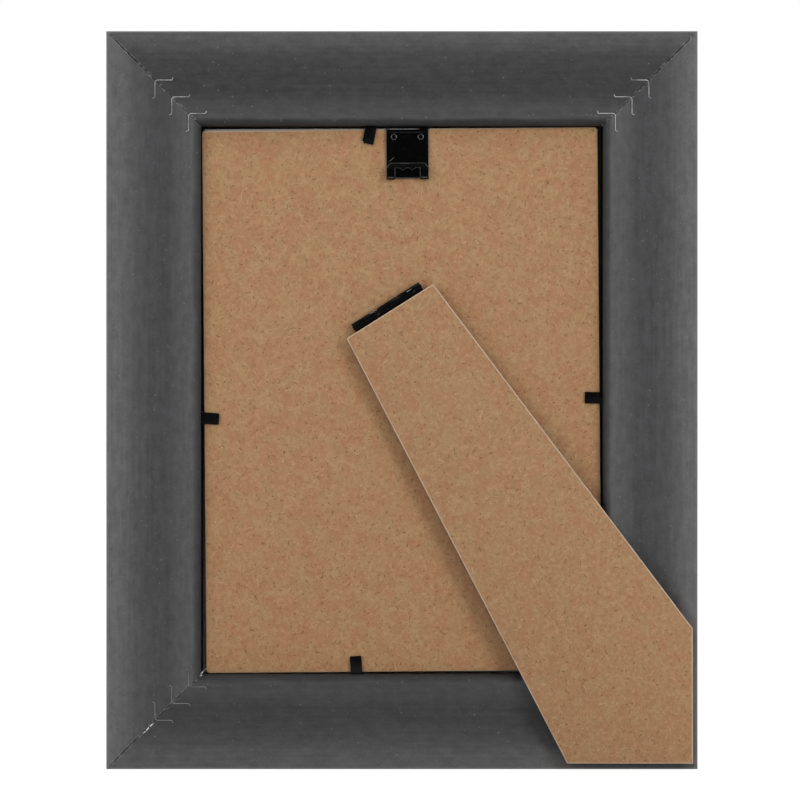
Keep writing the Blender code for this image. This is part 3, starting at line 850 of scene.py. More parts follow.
@dataclass(frozen=True)
class ClearGlass:
    """The glazing: clear, faintly green, with a trace of haze."""

    color: Color = (0.985, 0.995, 0.990)

    def made(self) -> bpy.types.Material:
        """Make the finish.

        Returns:
            The material.
        """
        graph = FinishGraph("clear_glass")
        roughness = graph.noise(0.030, 3.0).ranged(0.35, 0.75, 0.005, 0.03)
        relief = graph.bumped((graph.noise(0.050, 1.0), 0.00001))
        return graph.close(self.color, roughness, relief, Transmission_Weight=1.0, IOR=1.5)


@dataclass(frozen=True)
class PlainPaper:
    """The bare paper insert, with faint fibres."""

    color: Color = (0.88, 0.88, 0.865)
    shade: Color = (0.82, 0.82, 0.80)

    def made(self) -> bpy.types.Material:
        """Make the finish.

        Returns:
            The material.
        """
        graph = FinishGraph("plain_paper")
        cloud = graph.noise(0.0030, 4.0, 0.6)
        fibre = graph.fibres(0.0040, 0.0030, 0.00018, 0.6)
        color = cloud.ranged(0.3, 0.7).mixed(self.shade, self.color)
        color = (fibre * 0.3).mixed(color, self.shade)
        relief = graph.bumped((cloud, 0.00003), (fibre, 0.00001))
        return graph.close(color, cloud.ranged(0.3, 0.7, 0.86, 0.95), relief, Specular_IOR_Level=0.2)


# Mesh work


def arc(center: Point, radius: float, start: float, sweep: float, steps: int) -> list[Point]:
    """Points along a circular arc.

    Args:
        center: The arc's middle.
        radius: Its radius.
        start: The angle where it starts.
        sweep: The angle that it runs through.
        steps: How many parts it has.

    Returns:
        The points, both ends included.
    """
    angles = [start + sweep * i / steps for i in range(steps + 1)]
    return [(center[0] + radius * math.cos(angle), center[1] + radius * math.sin(angle)) for angle in angles]


def sag_at(share: float, chord: float, sag: float) -> float:
    """How far an arc stands off its chord, at a share of the chord's length."""
    radius = (chord * chord / 4 + sag * sag) / (2 * sag)
    return math.sqrt(radius * radius - (chord * (share - 0.5)) ** 2) - (radius - sag)


def sagged(start: Point, end: Point, sag: float, steps: int) -> list[Point]:
    """Points on an arc that stands off to the right of a line.

    Args:
        start: Where the line starts.
        end: Where it ends.
        sag: How far the arc stands off it.
        steps: How many parts the arc has.

    Returns:
        The points, both ends included.
    """
    run = (end[0] - start[0], end[1] - start[1])
    chord = math.hypot(*run)
    points = []
    for i in range(steps + 1):
        share = i / steps
        off = sag_at(share, chord, sag) / chord
        points.append((start[0] + share * run[0] + off * run[1], start[1] + share * run[1] - off * run[0]))
    return points


def slab(
    corners: list[Point],
    faces: list[list[int]],
    low: float,
    high: float,
    bevel: float,
    segments: int = 2,
) -> bmesh.types.BMesh:
    """A sheet with eased edges, from its flat outline.

    Args:
        corners: The outline's points, as (x, z).
        faces: The faces between them, each a list of point numbers, all going the same way round.
        low: The Y of one face.
        high: The Y of the other face.
        bevel: How far the edges are eased.
        segments: How many steps the easing has.

    Returns:
        A closed sheet, whose rim has material 1.
    """
    bm = bmesh.new()
    layers = [[bm.verts.new((x, level, z)) for x, z in corners] for level in (low, high)]
    for layer in layers:
        for face in faces:
            bm.faces.new([layer[i] for i in face])
    steps = [(face[i], face[(i + 1) % len(face)]) for face in faces for i in range(len(face))]
    known = set(steps)
    for start, end in steps:
        if (end, start) not in known:
            wall = bm.faces.new((layers[0][start], layers[0][end], layers[1][end], layers[1][start]))
            wall.material_index = 1
    bmesh.ops.recalc_face_normals(bm, faces=bm.faces[:])
    if bevel:
        rims = [edge for edge in bm.edges if len({face.material_index for face in edge.link_faces}) == 2]
        shape = {"offset": bevel, "segments": segments, "profile": 0.5}
        bmesh.ops.bevel(bm, geom=rims, affect="EDGES", material=1, **shape)
    return bm


def lathed(profile: list[Point], steps: int) -> bmesh.types.BMesh:
    """Turn a profile that starts and ends on the X axis about it.

    Args:
        profile: The profile, as (distance from the axis, place along it).
        steps: How many facets it has.

    Returns:
        The closed shape.
    """
    bm = bmesh.new()
    first, *middle, last = profile
    start, end = (bm.verts.new((point[1], 0.0, 0.0)) for point in (first, last))
    rings = []
    for i in range(steps):
        angle = math.tau * i / steps
        rings.append([bm.verts.new((x, r * math.cos(angle), r * math.sin(angle))) for r, x in middle])
    for ring, following in zip(rings, rings[1:] + rings[:1]):
        bm.faces.new((start, ring[0], following[0]))
        bm.faces.new((end, following[-1], ring[-1]))
        for j in range(len(ring) - 1):
            bm.faces.new((ring[j], ring[j + 1], following[j + 1], following[j]))
    return bm


def written(bm: bmesh.types.BMesh, mesh: bpy.types.Mesh) -> bpy.types.Mesh:
    """Write mesh work into a mesh.

    Args:
        bm: The mesh work, which is used up.
        mesh: The mesh, which keeps its materials.

    Returns:
        The mesh, with no doubles and its faces outwards.
    """
    bmesh.ops.remove_doubles(bm, verts=bm.verts[:], dist=MERGE_DISTANCE)
    bmesh.ops.recalc_face_normals(bm, faces=bm.faces[:])
    bm.to_mesh(mesh)
    bm.free()
    return mesh


def meshed(name: str, bm: bmesh.types.BMesh, matrix: Matrix = Matrix()) -> bpy.types.Mesh:
    """Turn mesh work into a mesh, with its shape put in a place."""
    bm.transform(matrix)
    return written(bm, bpy.data.meshes.new(name))


def gathered(name: str, meshes: list[bpy.types.Mesh]) -> bpy.types.Mesh:
    """Put several meshes of one finish into one.

    Args:
        name: The new mesh's name.
        meshes: The meshes.

    Returns:
        The new mesh.
    """
    bm = bmesh.new()
    for mesh in meshes:
        bm.from_mesh(mesh)
    return meshed(name, bm)


def cut_out(target: bpy.types.Mesh, tools: list[bpy.types.Mesh]) -> bpy.types.Mesh:
    """Cut closed shapes out of a mesh.

    Args:
        target: The mesh that is cut.
        tools: The shapes.

    Returns:
        The cut mesh.
    """
    carrier = linked("carrier", target)
    cutters = [linked("cutter", tool) for tool in tools]
    for cutter in cutters:
        modifier = carrier.modifiers.new("cut", "BOOLEAN")
        modifier.operation = "DIFFERENCE"
        modifier.solver = "EXACT"
        modifier.object = cutter
    return baked(carrier, *cutters)


def note_on(mesh: bpy.types.Mesh, label: str, values: list, kind: str = "FLOAT") -> None:
    """Leave a value on each point of a mesh, for a shape tree to read."""
    mesh.attributes.new(label, kind, "POINT").data.foreach_set("value", values)


def point_mesh(name: str, places: list[Vector]) -> bpy.types.Mesh:
    """A mesh of loose points.

    Args:
        name: The mesh's name.
        places: The points.

    Returns:
        The mesh.
    """
    mesh = bpy.data.meshes.new(name)
    mesh.from_pydata([tuple(place) for place in places], [], [])
    return mesh


@dataclass(frozen=True)
class Piece:
    """A piece of the finished object: its name, a slot name that nothing here reads, and the CAD nodes it
    stands for.
    """

    name: str
    slot: str
    stands_for: tuple[str, ...]

    def shown(
        self,
        mesh: bpy.types.Mesh,
        finishes: list[bpy.types.Material],
        smooth: float = 30.0,
    ) -> bpy.types.Object:
        """Put the piece's mesh in the scene.

        Args:
            mesh: The mesh, in the frame's own place.
            finishes: Its materials in the order of its faces' numbers, or none where the mesh has them.
            smooth: The angle in degrees up to which its faces meet smoothly.

        Returns:
            The object.
        """
        if finishes:
            numbers = [min(face.material_index, len(finishes) - 1) for face in mesh.polygons]
            mesh.materials.clear()
            for finish in finishes:
                mesh.materials.append(finish)
            for face, number in zip(mesh.polygons, numbers):
                face.material_index = number
        mesh.shade_smooth()
        mesh.set_sharp_from_angle(angle=math.radians(smooth))
        mesh.name = self.name
        shown = linked(self.name, mesh)
        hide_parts(*self.stands_for)
        LOG.info("%s: %d faces", self.name, len(mesh.polygons))
        return shown

    def riding(
        self,
        body: str,
        mesh: bpy.types.Mesh,
        finishes: list[bpy.types.Material],
        smooth: float = 30.0,
    ) -> None:
        """Put the piece's mesh in the scene, on a body."""
        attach(self.shown(mesh, finishes, smooth), body)


# Sub-assemblies


@dataclass
class Moulding:
    """The four mitred sides of the frame."""

    layout: Layout
    rear_width: float = 0.0311
    depth: float = 0.0200
    rebate_depth: float = 0.0096
    sight_lip: float = 0.0057
    lip_thickness: float = 0.0032
    land_width: float = 0.0052
    scoop_depth: float = 0.0026
    rebate_edge_radius: float = 0.0023
    outer_edge_radius: float = 0.0005
    front_bead_radius: float = 0.0045
    front_bead_turn: float = math.radians(140)
    cove_sag: float = 0.0016
    sight_bead_radius: float = 0.0018
    crease_ease: float = 0.0020
    gap_rear_outer: float = 0.00034
    gap_rear_inner: float = 0.00012
    gap_front: float = 0.00002
    gap_chipped: float = 0.00024
    gap_depth: float = 0.0090
    gap_starts: float = 0.0042
    chipped_corner: Corner = Corner.BOTTOM_LEFT
    scoop_steps: int = 48
    crease_steps: int = 10
    bead_steps: int = 18
    cove_steps: int = 28
    outer_edge_steps: int = 6
    rebate_edge_steps: int = 10
    least_gap_share: float = 0.06

    def scoop(self) -> Point:
        """Where the scooped channel starts and ends, across the moulding."""
        return self.land_width, self.rear_width - self.rebate_edge_radius

    def rear_depth(self, across: float) -> float:
        """The depth of the rear surface in the scooped channel."""
        start, end = self.scoop()
        return -sag_at((across - start) / (end - start), end - start, self.scoop_depth)

    def creased(self) -> list[Point]:
        """The eased crease between the outer land and the scooped channel.

        Returns:
            Its points, as (across, depth).
        """
        start = self.scoop()[0]
        foot = self.rear_depth(start + self.crease_ease)
        run = 2 * self.crease_ease
        slope = (self.rear_depth(start + self.crease_ease * 1.01) - foot) / (self.crease_ease * 0.01)
        points = []
        for i in range(self.crease_steps + 1):
            share = i / self.crease_steps
            swing = share * share * (3 - 2 * share) * foot + share * share * (share - 1) * slope * run
            points.append((start - self.crease_ease + share * run, swing))
        return points

    def section(self) -> tuple[list[Point], list[bool]]:
        """The moulding's section.

        Returns:
            Its points as (across, depth), and for each whether it is lacquered.
        """
        start, end = self.scoop()
        full = self.rear_width + self.sight_lip
        sight_front = -(self.rebate_depth + self.lip_thickness)
        radius, turn = self.front_bead_radius, self.front_bead_turn
        bead = arc((radius, radius - self.depth), radius, math.pi + turn, -turn, self.bead_steps)
        edge = self.outer_edge_radius
        ease = self.rebate_edge_radius
        rear = arc((edge, -edge), edge, math.pi, -QUARTER, self.outer_edge_steps)
        rear += self.creased()
        scoop = sagged((start, 0.0), (end, 0.0), self.scoop_depth, self.scoop_steps)
        rear += [point for point in scoop if point[0] > start + self.crease_ease * 1.02]
        rear += arc((end, -ease), ease, QUARTER, -QUARTER, self.rebate_edge_steps)[1:]
        rear += [(self.rear_width, -self.rebate_depth), (full, -self.rebate_depth)]
        sight_middle = (full - self.sight_bead_radius, sight_front)
        front = arc(sight_middle, self.sight_bead_radius, 0.0, -math.pi, self.bead_steps)
        foot = (full - 2 * self.sight_bead_radius, sight_front)
        front += sagged(foot, bead[0], self.cove_sag, self.cove_steps)[1:-1]
        front += bead
        lacquered = [False] * len(rear) + [True] * len(front)
        lacquered[0] = True
        return rear + front, lacquered

    def tree(self, sizes: dict[str, object]) -> ShapeTree:
        """The shape tree of one mitred side: its section swept along it, with mitred ends.

        Args:
            sizes: A value for each input.

        Returns:
            The tree.
        """
        tree = ShapeTree("mitred_side", sizes)
        given = tree.given
        swept = tree.swept(tree.node("MeshToCurve", given["Shape"]), 2)
        across, depth, share = (tree.noted(name) for name in ("across", "depth", "share"))
        chip = share.ranged(0.0, 1.0, given["Start Chip Gap"], given["End Chip Gap"])
        rear_gap = across.ranged(0.0, given["Width"], given["Gap Rear Outer"], given["Gap Rear Inner"])
        rear_gap = rear_gap * across.ranged(0.0, given["Gap Starts"], self.least_gap_share, 1.0)
        front_gap = across.ranged(0.0, given["Width"], given["Gap Front"], chip)
        gap = depth.ranged(0.0, -given["Gap Depth"], rear_gap, front_gap)
        half = given["Half Length"] - (across + gap * math.sqrt(0.5))
        along = share.ranged(0.0, 1.0, -1.0, 1.0) * half
        at = tree.vector(along, given["Rear"] + depth, given["Half Span"] - across)
        placed = tree.vectors("ADD", tree.turned(at, given["Turn"]), given["Middle"])
        shape = tree.node("SetPosition", swept, None, placed)
        tree.finish(shape, ("Raw", None), ("Lacquer", tree.noted("lacquered", "BOOLEAN")))
        return tree

    def build(self, pockets: dict[Corner, bpy.types.Mesh]) -> None:
        """Build and dress the four sides.

        Args:
            pockets: For each corner, the shape of its nails' pockets.
        """
        points, lacquered = self.section()
        loop = bpy.data.meshes.new("section")
        count = len(points)
        loop.from_pydata([(a, b, 0.0) for a, b in points], [(i, (i + 1) % count) for i in range(count)], [])
        note_on(loop, "across", [point[0] for point in points])
        note_on(loop, "depth", [point[1] for point in points])
        note_on(loop, "lacquered", lacquered, "BOOLEAN")
        gaps = sizes_of(self, "gap_starts", "gap_depth", "gap_rear_outer", "gap_rear_inner", "gap_front")
        tree = None
        for side in Side:
            half_length, half_span = self.layout.half_sizes(side)
            chips = [self.gap_front, self.gap_front]
            if side.label in self.chipped_corner.label:
                chips[side.value % 2] = self.gap_chipped
            sizes = {
                **gaps,
                "Half Length": half_length,
                "Half Span": half_span,
                "Rear": self.layout.rear,
                "Width": self.rear_width + self.sight_lip,
                "Start Chip Gap": chips[0],
                "End Chip Gap": chips[1],
                "Turn": side.turn,
                "Middle": tuple(self.layout.middle),
                "Raw": RawFoam().made(side, self.layout),
                "Lacquer": CharcoalLacquer().made(side, self.layout),
            }
            tree = tree or self.tree(sizes)
            near = [pockets[corner] for corner in Corner if side.label in corner.label]
            mesh = cut_out(tree.grown(loop, sizes), near)
            piece = Piece(f"side_{side.label}", "grey_foam_moulding", (f"moulding_{side.label}",))
            piece.riding("frame", mesh, [])


@dataclass
class CornerNails:
    """The V-nails that hold the mitres, driven in from behind."""

    layout: Layout
    moulding: Moulding
    count: int = 3
    from_outer_edge: float = 0.0159
    from_rebate: float = 0.0040
    leg: float = 0.0056
    hook: float = 0.0009
    hook_angle: float = math.radians(65)
    vertex_radius: float = 0.0009
    thickness: float = 0.00019
    height: float = 0.0069
    proud: float = 0.00002
    pocket_gap: float = 0.00010
    pocket_height_gaps: float = 40.0
    pocket_rise_gaps: float = 18.0
    hook_round_share: float = 0.35
    tilt: float = math.radians(0.55)
    seed: int = 7

    def tree(self, sizes: dict[str, object]) -> ShapeTree:
        """The shape tree of the nails: a bent strip, set at each point with a little tilt of its own.

        Args:
            sizes: A value for each input.

        Returns:
            The tree.
        """
        tree = ShapeTree("v_nails", sizes)
        given = tree.given
        line = tree.node("MeshToCurve", tree.node("MeshLine", 5))
        order = tree.node("InputIndex") - 2.0
        steps = abs(order)
        past = (steps - 1.0).most(0.0)
        back = -(steps.step("MINIMUM", 1.0) * given["Leg"] + past * given["Hook Along"])
        out = past * given["Hook Out"]
        second = order.step("GREATER_THAN", 0.0)
        x = second.ranged(0.0, 1.0, back, out)
        z = second.ranged(0.0, 1.0, out, back)
        bent = tree.node("SetPosition", line, None, tree.vector(x, -z, 0.0))
        round_at = steps.ranged(0.0, 1.0, given["Vertex Radius"], given["Hook Out"] * self.hook_round_share)
        rounded = tree.node("FilletCurve", bent, 4, round_at, True, mode="POLY")
        upright = tree.node("SetCurveNormal", rounded, mode="Z_UP")
        wide = given["Thickness"] + given["Grow"] * 2.0
        tall = given["Height"] + given["Grow"] * self.pocket_height_gaps
        strip = tree.node("CurvePrimitiveQuadrilateral", wide, tall)
        shape = tree.node("CurveToMesh", upright, strip, None, True)
        drop = given["Height"] * -0.5 + given["Grow"] * self.pocket_rise_gaps
        shape = tree.node("Transform", shape, tree.vector(0.0, 0.0, drop))
        shape = tree.node("Transform", shape, None, (-QUARTER, 0.0, 0.0))
        low, high = -given["Tilt"], given["Tilt"]
        lean = tree.add("FunctionNodeRandomValue", low, high, None, given["Seed"])
        slew = tree.add("FunctionNodeRandomValue", low, high, None, given["Seed"] + 1.0)
        tree.finish(tree.set_out(shape, lean, tree.noted("turn"), slew), ("Steel", None))
        return tree

    def places(self, corner: Corner) -> list[Vector]:
        """Where the nails of a corner are.

        Args:
            corner: The corner.

        Returns:
            The outer point of each nail, at its top.
        """
        last = self.moulding.rear_width - self.from_rebate
        pitch = (last - self.from_outer_edge) / (self.count - 1)
        places = []
        for i in range(self.count):
            inward = self.from_outer_edge + i * pitch
            x = corner.value[1] * (self.layout.half_width - inward)
            y = self.layout.rear + self.moulding.rear_depth(inward) + self.proud
            z = self.layout.half_height + corner.value[2] * (self.layout.half_height - inward)
            places.append(Vector((x, y, z)))
        return places

    def build(self) -> dict[Corner, bpy.types.Mesh]:
        """Build and dress the nails.

        Returns:
            For each corner, the shape of its nails' pockets in the moulding.
        """
        steel = BrightSteel(
            "nail_steel",
            color=(0.78, 0.78, 0.79),
            dark_color=(0.22, 0.22, 0.225),
            smooth=0.35,
            dull=0.60,
            uneven_size=0.0034,
            metallic=0.35,
            dull_below=self.layout.half_height,
        ).made()
        tree = None
        pockets = {}
        nails = []
        names = []
        for number, corner in enumerate(Corner):
            start = point_mesh(f"nail_points_{corner.label}", self.places(corner))
            note_on(start, "turn", [corner.value[0] * QUARTER] * self.count)
            nail = {
                **sizes_of(self, "leg", "vertex_radius", "thickness", "height", "tilt"),
                "Hook Out": self.hook * math.sin(self.hook_angle),
                "Hook Along": self.hook * math.cos(self.hook_angle),
                "Grow": 0.0,
                "Seed": self.seed + 10 * number,
                "Steel": steel,
            }
            tree = tree or self.tree(nail)
            nails.append(tree.grown(start, nail))
            pockets[corner] = tree.grown(start, {**nail, "Grow": self.pocket_gap, "Tilt": 0.0})
            names += [f"v_nail_{corner.label}_{i + 1}" for i in range(self.count)]
        Piece("corner_nails", "bright_steel", tuple(names)).riding("frame", gathered("nails", nails), [steel])
        return pockets


@dataclass
class FlexibleTabs:
    """The tabs that hold the back panel in: each is rooted in the rebate wall and bends over the panel."""

    layout: Layout
    width: float = 0.00385
    thickness: float = 0.0004
    reach: float = 0.0055
    root: float = 0.0060
    point: float = 0.0025
    tip_radius: float = 0.00035
    edge_radius: float = 0.00009
    bend_length: float = 0.0012
    steps: int = 56
    point_width_share: float = 0.06
    skews: tuple[float, ...] = tuple(math.radians(angle) for angle in (11.9, 4.4, -3.7, 1.5))
    bows: tuple[float, ...] = (0.00034, 0.00020, 0.00026, 0.00014)

    def tree(self, sizes: dict[str, object]) -> ShapeTree:
        """The shape tree of a tab: a rounded strip from its point in the moulding to its tip.

        Args:
            sizes: A value for each input.

        Returns:
            The tree.
        """
        tree = ShapeTree("flexible_tab", sizes)
        given = tree.given
        eased = tree.strip(given["Width"], given["Thickness"], given["Edge Radius"])
        section = tree.note(eased, "section", tree.node("InputPosition"), "FLOAT_VECTOR")
        swept = tree.swept(section, self.steps)
        left = 1.0 - tree.noted("share")
        way = given["Reach"] - (given["Root"] + given["Reach"]) * left.step("POWER", 2.0)
        rooted = -given["Root"]
        pointed = way.ranged(rooted, rooted + given["Point"], self.point_width_share, 1.0)
        near_tip = way.ranged(given["Reach"] - given["Tip Radius"], given["Reach"])
        round_off = (1.0 - near_tip.step("POWER", 2.0)).step("SQRT")
        loss = (1.0 - round_off) * 2.0 * given["Tip Radius"] / given["Width"]
        broad = pointed * (1.0 - loss)
        across, level, _ = tree.parts(tree.noted("section", "FLOAT_VECTOR"))
        arch = way.ranged(0.0, given["Reach"], 0.0, math.pi).step("SINE")
        up = level + arch * given["Bow"] - given["Thickness"] * 0.5
        straight = tree.vector(across * broad, up, -way)
        turned = tree.turned(tree.turned(straight, -given["Skew"]), given["Turn"])
        placed = tree.vectors("ADD", turned, given["Place"])
        tree.finish(tree.node("SetPosition", swept, None, placed), ("Black", None))
        return tree

    def build(self) -> None:
        """Build and dress the four tabs."""
        glint = Rub(self.width / 2 - 0.00012, 0.00025 - self.reach, 0.0006, 0.00055, 0.9, math.radians(45))
        finish = BlackSteel("black_tab", (0.0020, 0.0020, 0.0021), smooth=0.20, dull=0.32, gloss=0.22)
        fields = ("width", "thickness", "reach", "root", "point", "tip_radius", "edge_radius")
        tree = None
        for side, skew, bow in zip(Side, self.skews, self.bows):
            bend = joint_place(f"tab_bend_{side.label}")
            rubs = (glint,) if side is Side.TOP else ()
            black = replace(finish, rubs=rubs).made(side.turn - skew, bend)
            sizes = {
                **sizes_of(self, *fields),
                "Skew": skew,
                "Bow": bow,
                "Turn": side.turn,
                "Place": tuple(bend),
                "Black": black,
            }
            tree = tree or self.tree(sizes)
            mesh = tree.grown(point_mesh("tab_start", [bend]), sizes)
            nodes = (f"tab_root_{side.label}", f"tab_blade_{side.label}")
            shown = Piece(f"tab_{side.label}_strip", "black_steel", nodes).shown(mesh, [black], 50.0)
            inward = Matrix.Rotation(side.turn, 3, "Y") @ Vector((0.0, 0.0, -self.bend_length))
            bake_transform(shown)


@dataclass
class BackPanel:
    """The fibreboard panel, lying slightly askew in the rebate."""

    layout: Layout
    width: float = 0.1310
    height: float = 0.17980
    thickness: float = 0.0025
    corner_radius: float = 0.0012
    bevel: float = 0.00030
    turn: float = math.radians(0.47379)
    corner_steps: int = 6
    # How wide the painted highlight along the top edge is.
    dust_width: float = 0.0004

    @property
    def place(self) -> Matrix:
        """Where the panel's own directions are: the middle of its rear face."""
        middle = Vector((0.0, self.layout.panel_rear, self.layout.half_height))
        return Matrix.Translation(middle) @ Matrix.Rotation(self.turn, 4, "Y")

    def build(self) -> None:
        """Build and dress the panel."""
        radius = self.corner_radius
        outline = []
        for i, (side_x, side_z) in enumerate(((1, 1), (-1, 1), (-1, -1), (1, -1))):
            center = (side_x * (self.width / 2 - radius), side_z * (self.height / 2 - radius))
            outline += arc(center, radius, i * QUARTER, QUARTER, self.corner_steps)
        bm = slab(outline, [list(range(len(outline)))], -self.thickness, 0.0, self.bevel, 3)
        board = Fibreboard(dusty_above=self.height / 2 - self.dust_width)
        turned = (self.turn, self.layout.middle)
        finishes = [board.face("board_face_panel", *turned), board.sawn("board_edge_panel", *turned)]
        piece = Piece("panel_board", "fibreboard", ("back_panel",))
        piece.riding("frame", meshed("panel", bm, self.place), finishes)


@dataclass
class Hanger:
    """The hanger, folded from one blackened sheet: plate, hooked fold and flap with a toothed window."""

    panel: BackPanel
    offset: float = -0.0025
    width: float = 0.0141
    height: float = 0.0170
    thickness: float = 0.0005
    seat_gap: float = 0.0003
    fold_gap: float = 0.0012
    flap_height: float = 0.0055
    chamfer: float = 0.0015
    window_width: float = 0.0081
    window_top: float = 0.0038
    tooth_count: int = 2
    tooth_width: float = 0.0024
    tooth_pitch: float = 0.0031
    tooth_depth: float = 0.0008
    curl_radius: float = 0.0005
    curl_turn: float = math.radians(70)
    curl_inset: float = 0.0004
    curl_steps: int = 5
    bend_steps: int = 16
    bevel: float = 0.00015

    @property
    def levels(self) -> tuple[float, float, float]:
        """The heights of the sheet's plate.

        Returns:
            Where its curl starts, where its fold starts, and where its foot is.
        """
        top = self.panel.height / 2
        foot = top - self.height
        return top - self.curl_inset, foot + self.fold_gap / 2 + self.thickness, foot

    @property
    def fold_radius(self) -> float:
        """The radius of the fold, at the middle of the sheet."""
        return (self.fold_gap + self.thickness) / 2

    def flat_sheet(self) -> tuple[list[Point], list[list[int]]]:
        """The sheet before it is folded.

        Returns:
            Its points as (across, down the sheet), and its faces.
        """
        start, fold, foot = self.levels
        half = self.width / 2
        gap = self.window_width / 2
        plate = start - fold
        low = plate + math.pi / 4 * self.fold_radius
        bent = plate + math.pi * self.fold_radius
        high = bent + foot + self.window_top - fold
        end = bent + foot + self.flap_height - fold
        teeth = []
        for i in range(self.tooth_count):
            tooth = (i - (self.tooth_count - 1) / 2) * self.tooth_pitch
            for off, drop in ((-0.5, 0.0), (0.0, self.tooth_depth), (0.5, 0.0)):
                teeth.append((tooth + off * self.tooth_width, high - drop))
        curled = -self.curl_radius * self.curl_turn
        points = [(-half, curled), (half, curled)]
        points += [(-half, low), (-gap, low), (gap, low), (half, low)]
        points += [(-half, high), (-gap, high), *teeth, (gap, high), (half, high)]
        right = 8 + len(teeth)
        points += [(half, end - self.chamfer), (half - self.chamfer, end)]
        points += [(self.chamfer - half, end), (-half, end - self.chamfer)]
        flap = list(range(6, right + 6))
        return points, [[0, 1, 5, 4, 3, 2], [2, 3, 7, 6], [4, 5, right + 1, right], flap]

    def folded(self, across: float, out: float, down: float) -> Vector:
        """Where a point of the flat sheet goes when the sheet is folded.

        Args:
            across: Its place across the sheet.
            out: Its height over the middle of the sheet.
            down: How far down the sheet it is, from where the plate starts.

        Returns:
            The point, in the panel's own directions.
        """
        start, fold, _ = self.levels
        middle = self.seat_gap + self.thickness / 2
        bent = start - fold + math.pi * self.fold_radius
        if down < 0:
            angle = -down / self.curl_radius
            radius = self.curl_radius + out
            y = middle - self.curl_radius + radius * math.cos(angle)
            z = start + radius * math.sin(angle)
        elif down < start - fold:
            y, z = middle + out, start - down
        elif down < bent:
            angle = (down - (start - fold)) / self.fold_radius
            radius = self.fold_radius - out
            y = middle + self.fold_radius - radius * math.cos(angle)
            z = fold - radius * math.sin(angle)
        else:
            y, z = middle + 2 * self.fold_radius - out, fold + down - bent
        return Vector((self.offset + across, y, z))

    def build(self) -> None:
        """Build and dress the hanger."""
        points, faces = self.flat_sheet()
        bm = slab(points, faces, -self.thickness / 2, self.thickness / 2, self.bevel)
        start, fold, _ = self.levels
        curl = [-self.curl_radius * self.curl_turn * i / self.curl_steps for i in range(self.curl_steps)]
        steps = range(self.bend_steps + 1)
        bend = [start - fold + math.pi * self.fold_radius * i / self.bend_steps for i in steps]
        bend += [bend[0] - self.bevel, bend[-1] + self.bevel]
        for down in curl + bend:
            parts = bm.verts[:] + bm.edges[:] + bm.faces[:]
            bmesh.ops.bisect_plane(bm, geom=parts, plane_co=(0.0, 0.0, down), plane_no=(0.0, 0.0, 1.0))
        for vert in bm.verts:
            vert.co = self.folded(*vert.co)
        black = BlackSteel("black_hanger", rubs=self.rubs())
        # The rims are lighter than the plate: partly bare cut edges, partly painted highlight.
        edge = BlackSteel("black_hanger_edge", (0.032, 0.032, 0.032), smooth=0.25, dull=0.40, gloss=0.5)
        finishes = [finish.made(self.panel.turn, self.panel.layout.middle) for finish in (black, edge)]
        mesh = meshed("hanger_sheet", bm, self.panel.place)
        Piece("hanger_sheet", "black_steel", ("hanger",)).riding("frame", mesh, finishes, 20.0)

    def rubs(self) -> tuple[Rub, ...]:
        """The painted highlight lines on the hanger's curl, rims, chamfers, fold and flap.

        Returns:
            The lines, in the panel's own directions.
        """
        _, _, foot = self.levels
        top = self.panel.height / 2
        leg = (self.width + self.window_width) / 4
        rim = foot + self.flap_height - 0.00012
        slant = self.width / 2 - self.chamfer / 2 - 0.00008
        low = foot + self.flap_height - self.chamfer / 2 - 0.00008
        rows = (
            (0.0015, top - 0.00020, 0.0120, 0.00044, 0.50, 0.0),
            (0.0, top - 0.0013, 0.0135, 0.00036, 0.05, 0.0),
            (0.0010, rim, 0.0034, 0.00024, 0.55, 0.0),
            (0.0, rim, 0.0150, 0.00022, 0.10, 0.0),
            (slant, low, 0.0030, 0.00024, 0.30, 45.0),
            (-slant, low, 0.0030, 0.00024, 0.18, -45.0),
            (0.0, foot + 0.0046, 0.0260, 0.0026, 0.008, 0.0),
            (-leg, foot + 0.00070, 0.0026, 0.00034, 0.22, 0.0),
            (leg, foot + 0.00070, 0.0026, 0.00034, 0.22, 0.0),
            (0.0053, foot + 0.0067, 0.0028, 0.00022, 0.35, 39.6),
        )
        return tuple(Rub(self.offset + across, *rest, math.radians(angle)) for across, *rest, angle in rows)


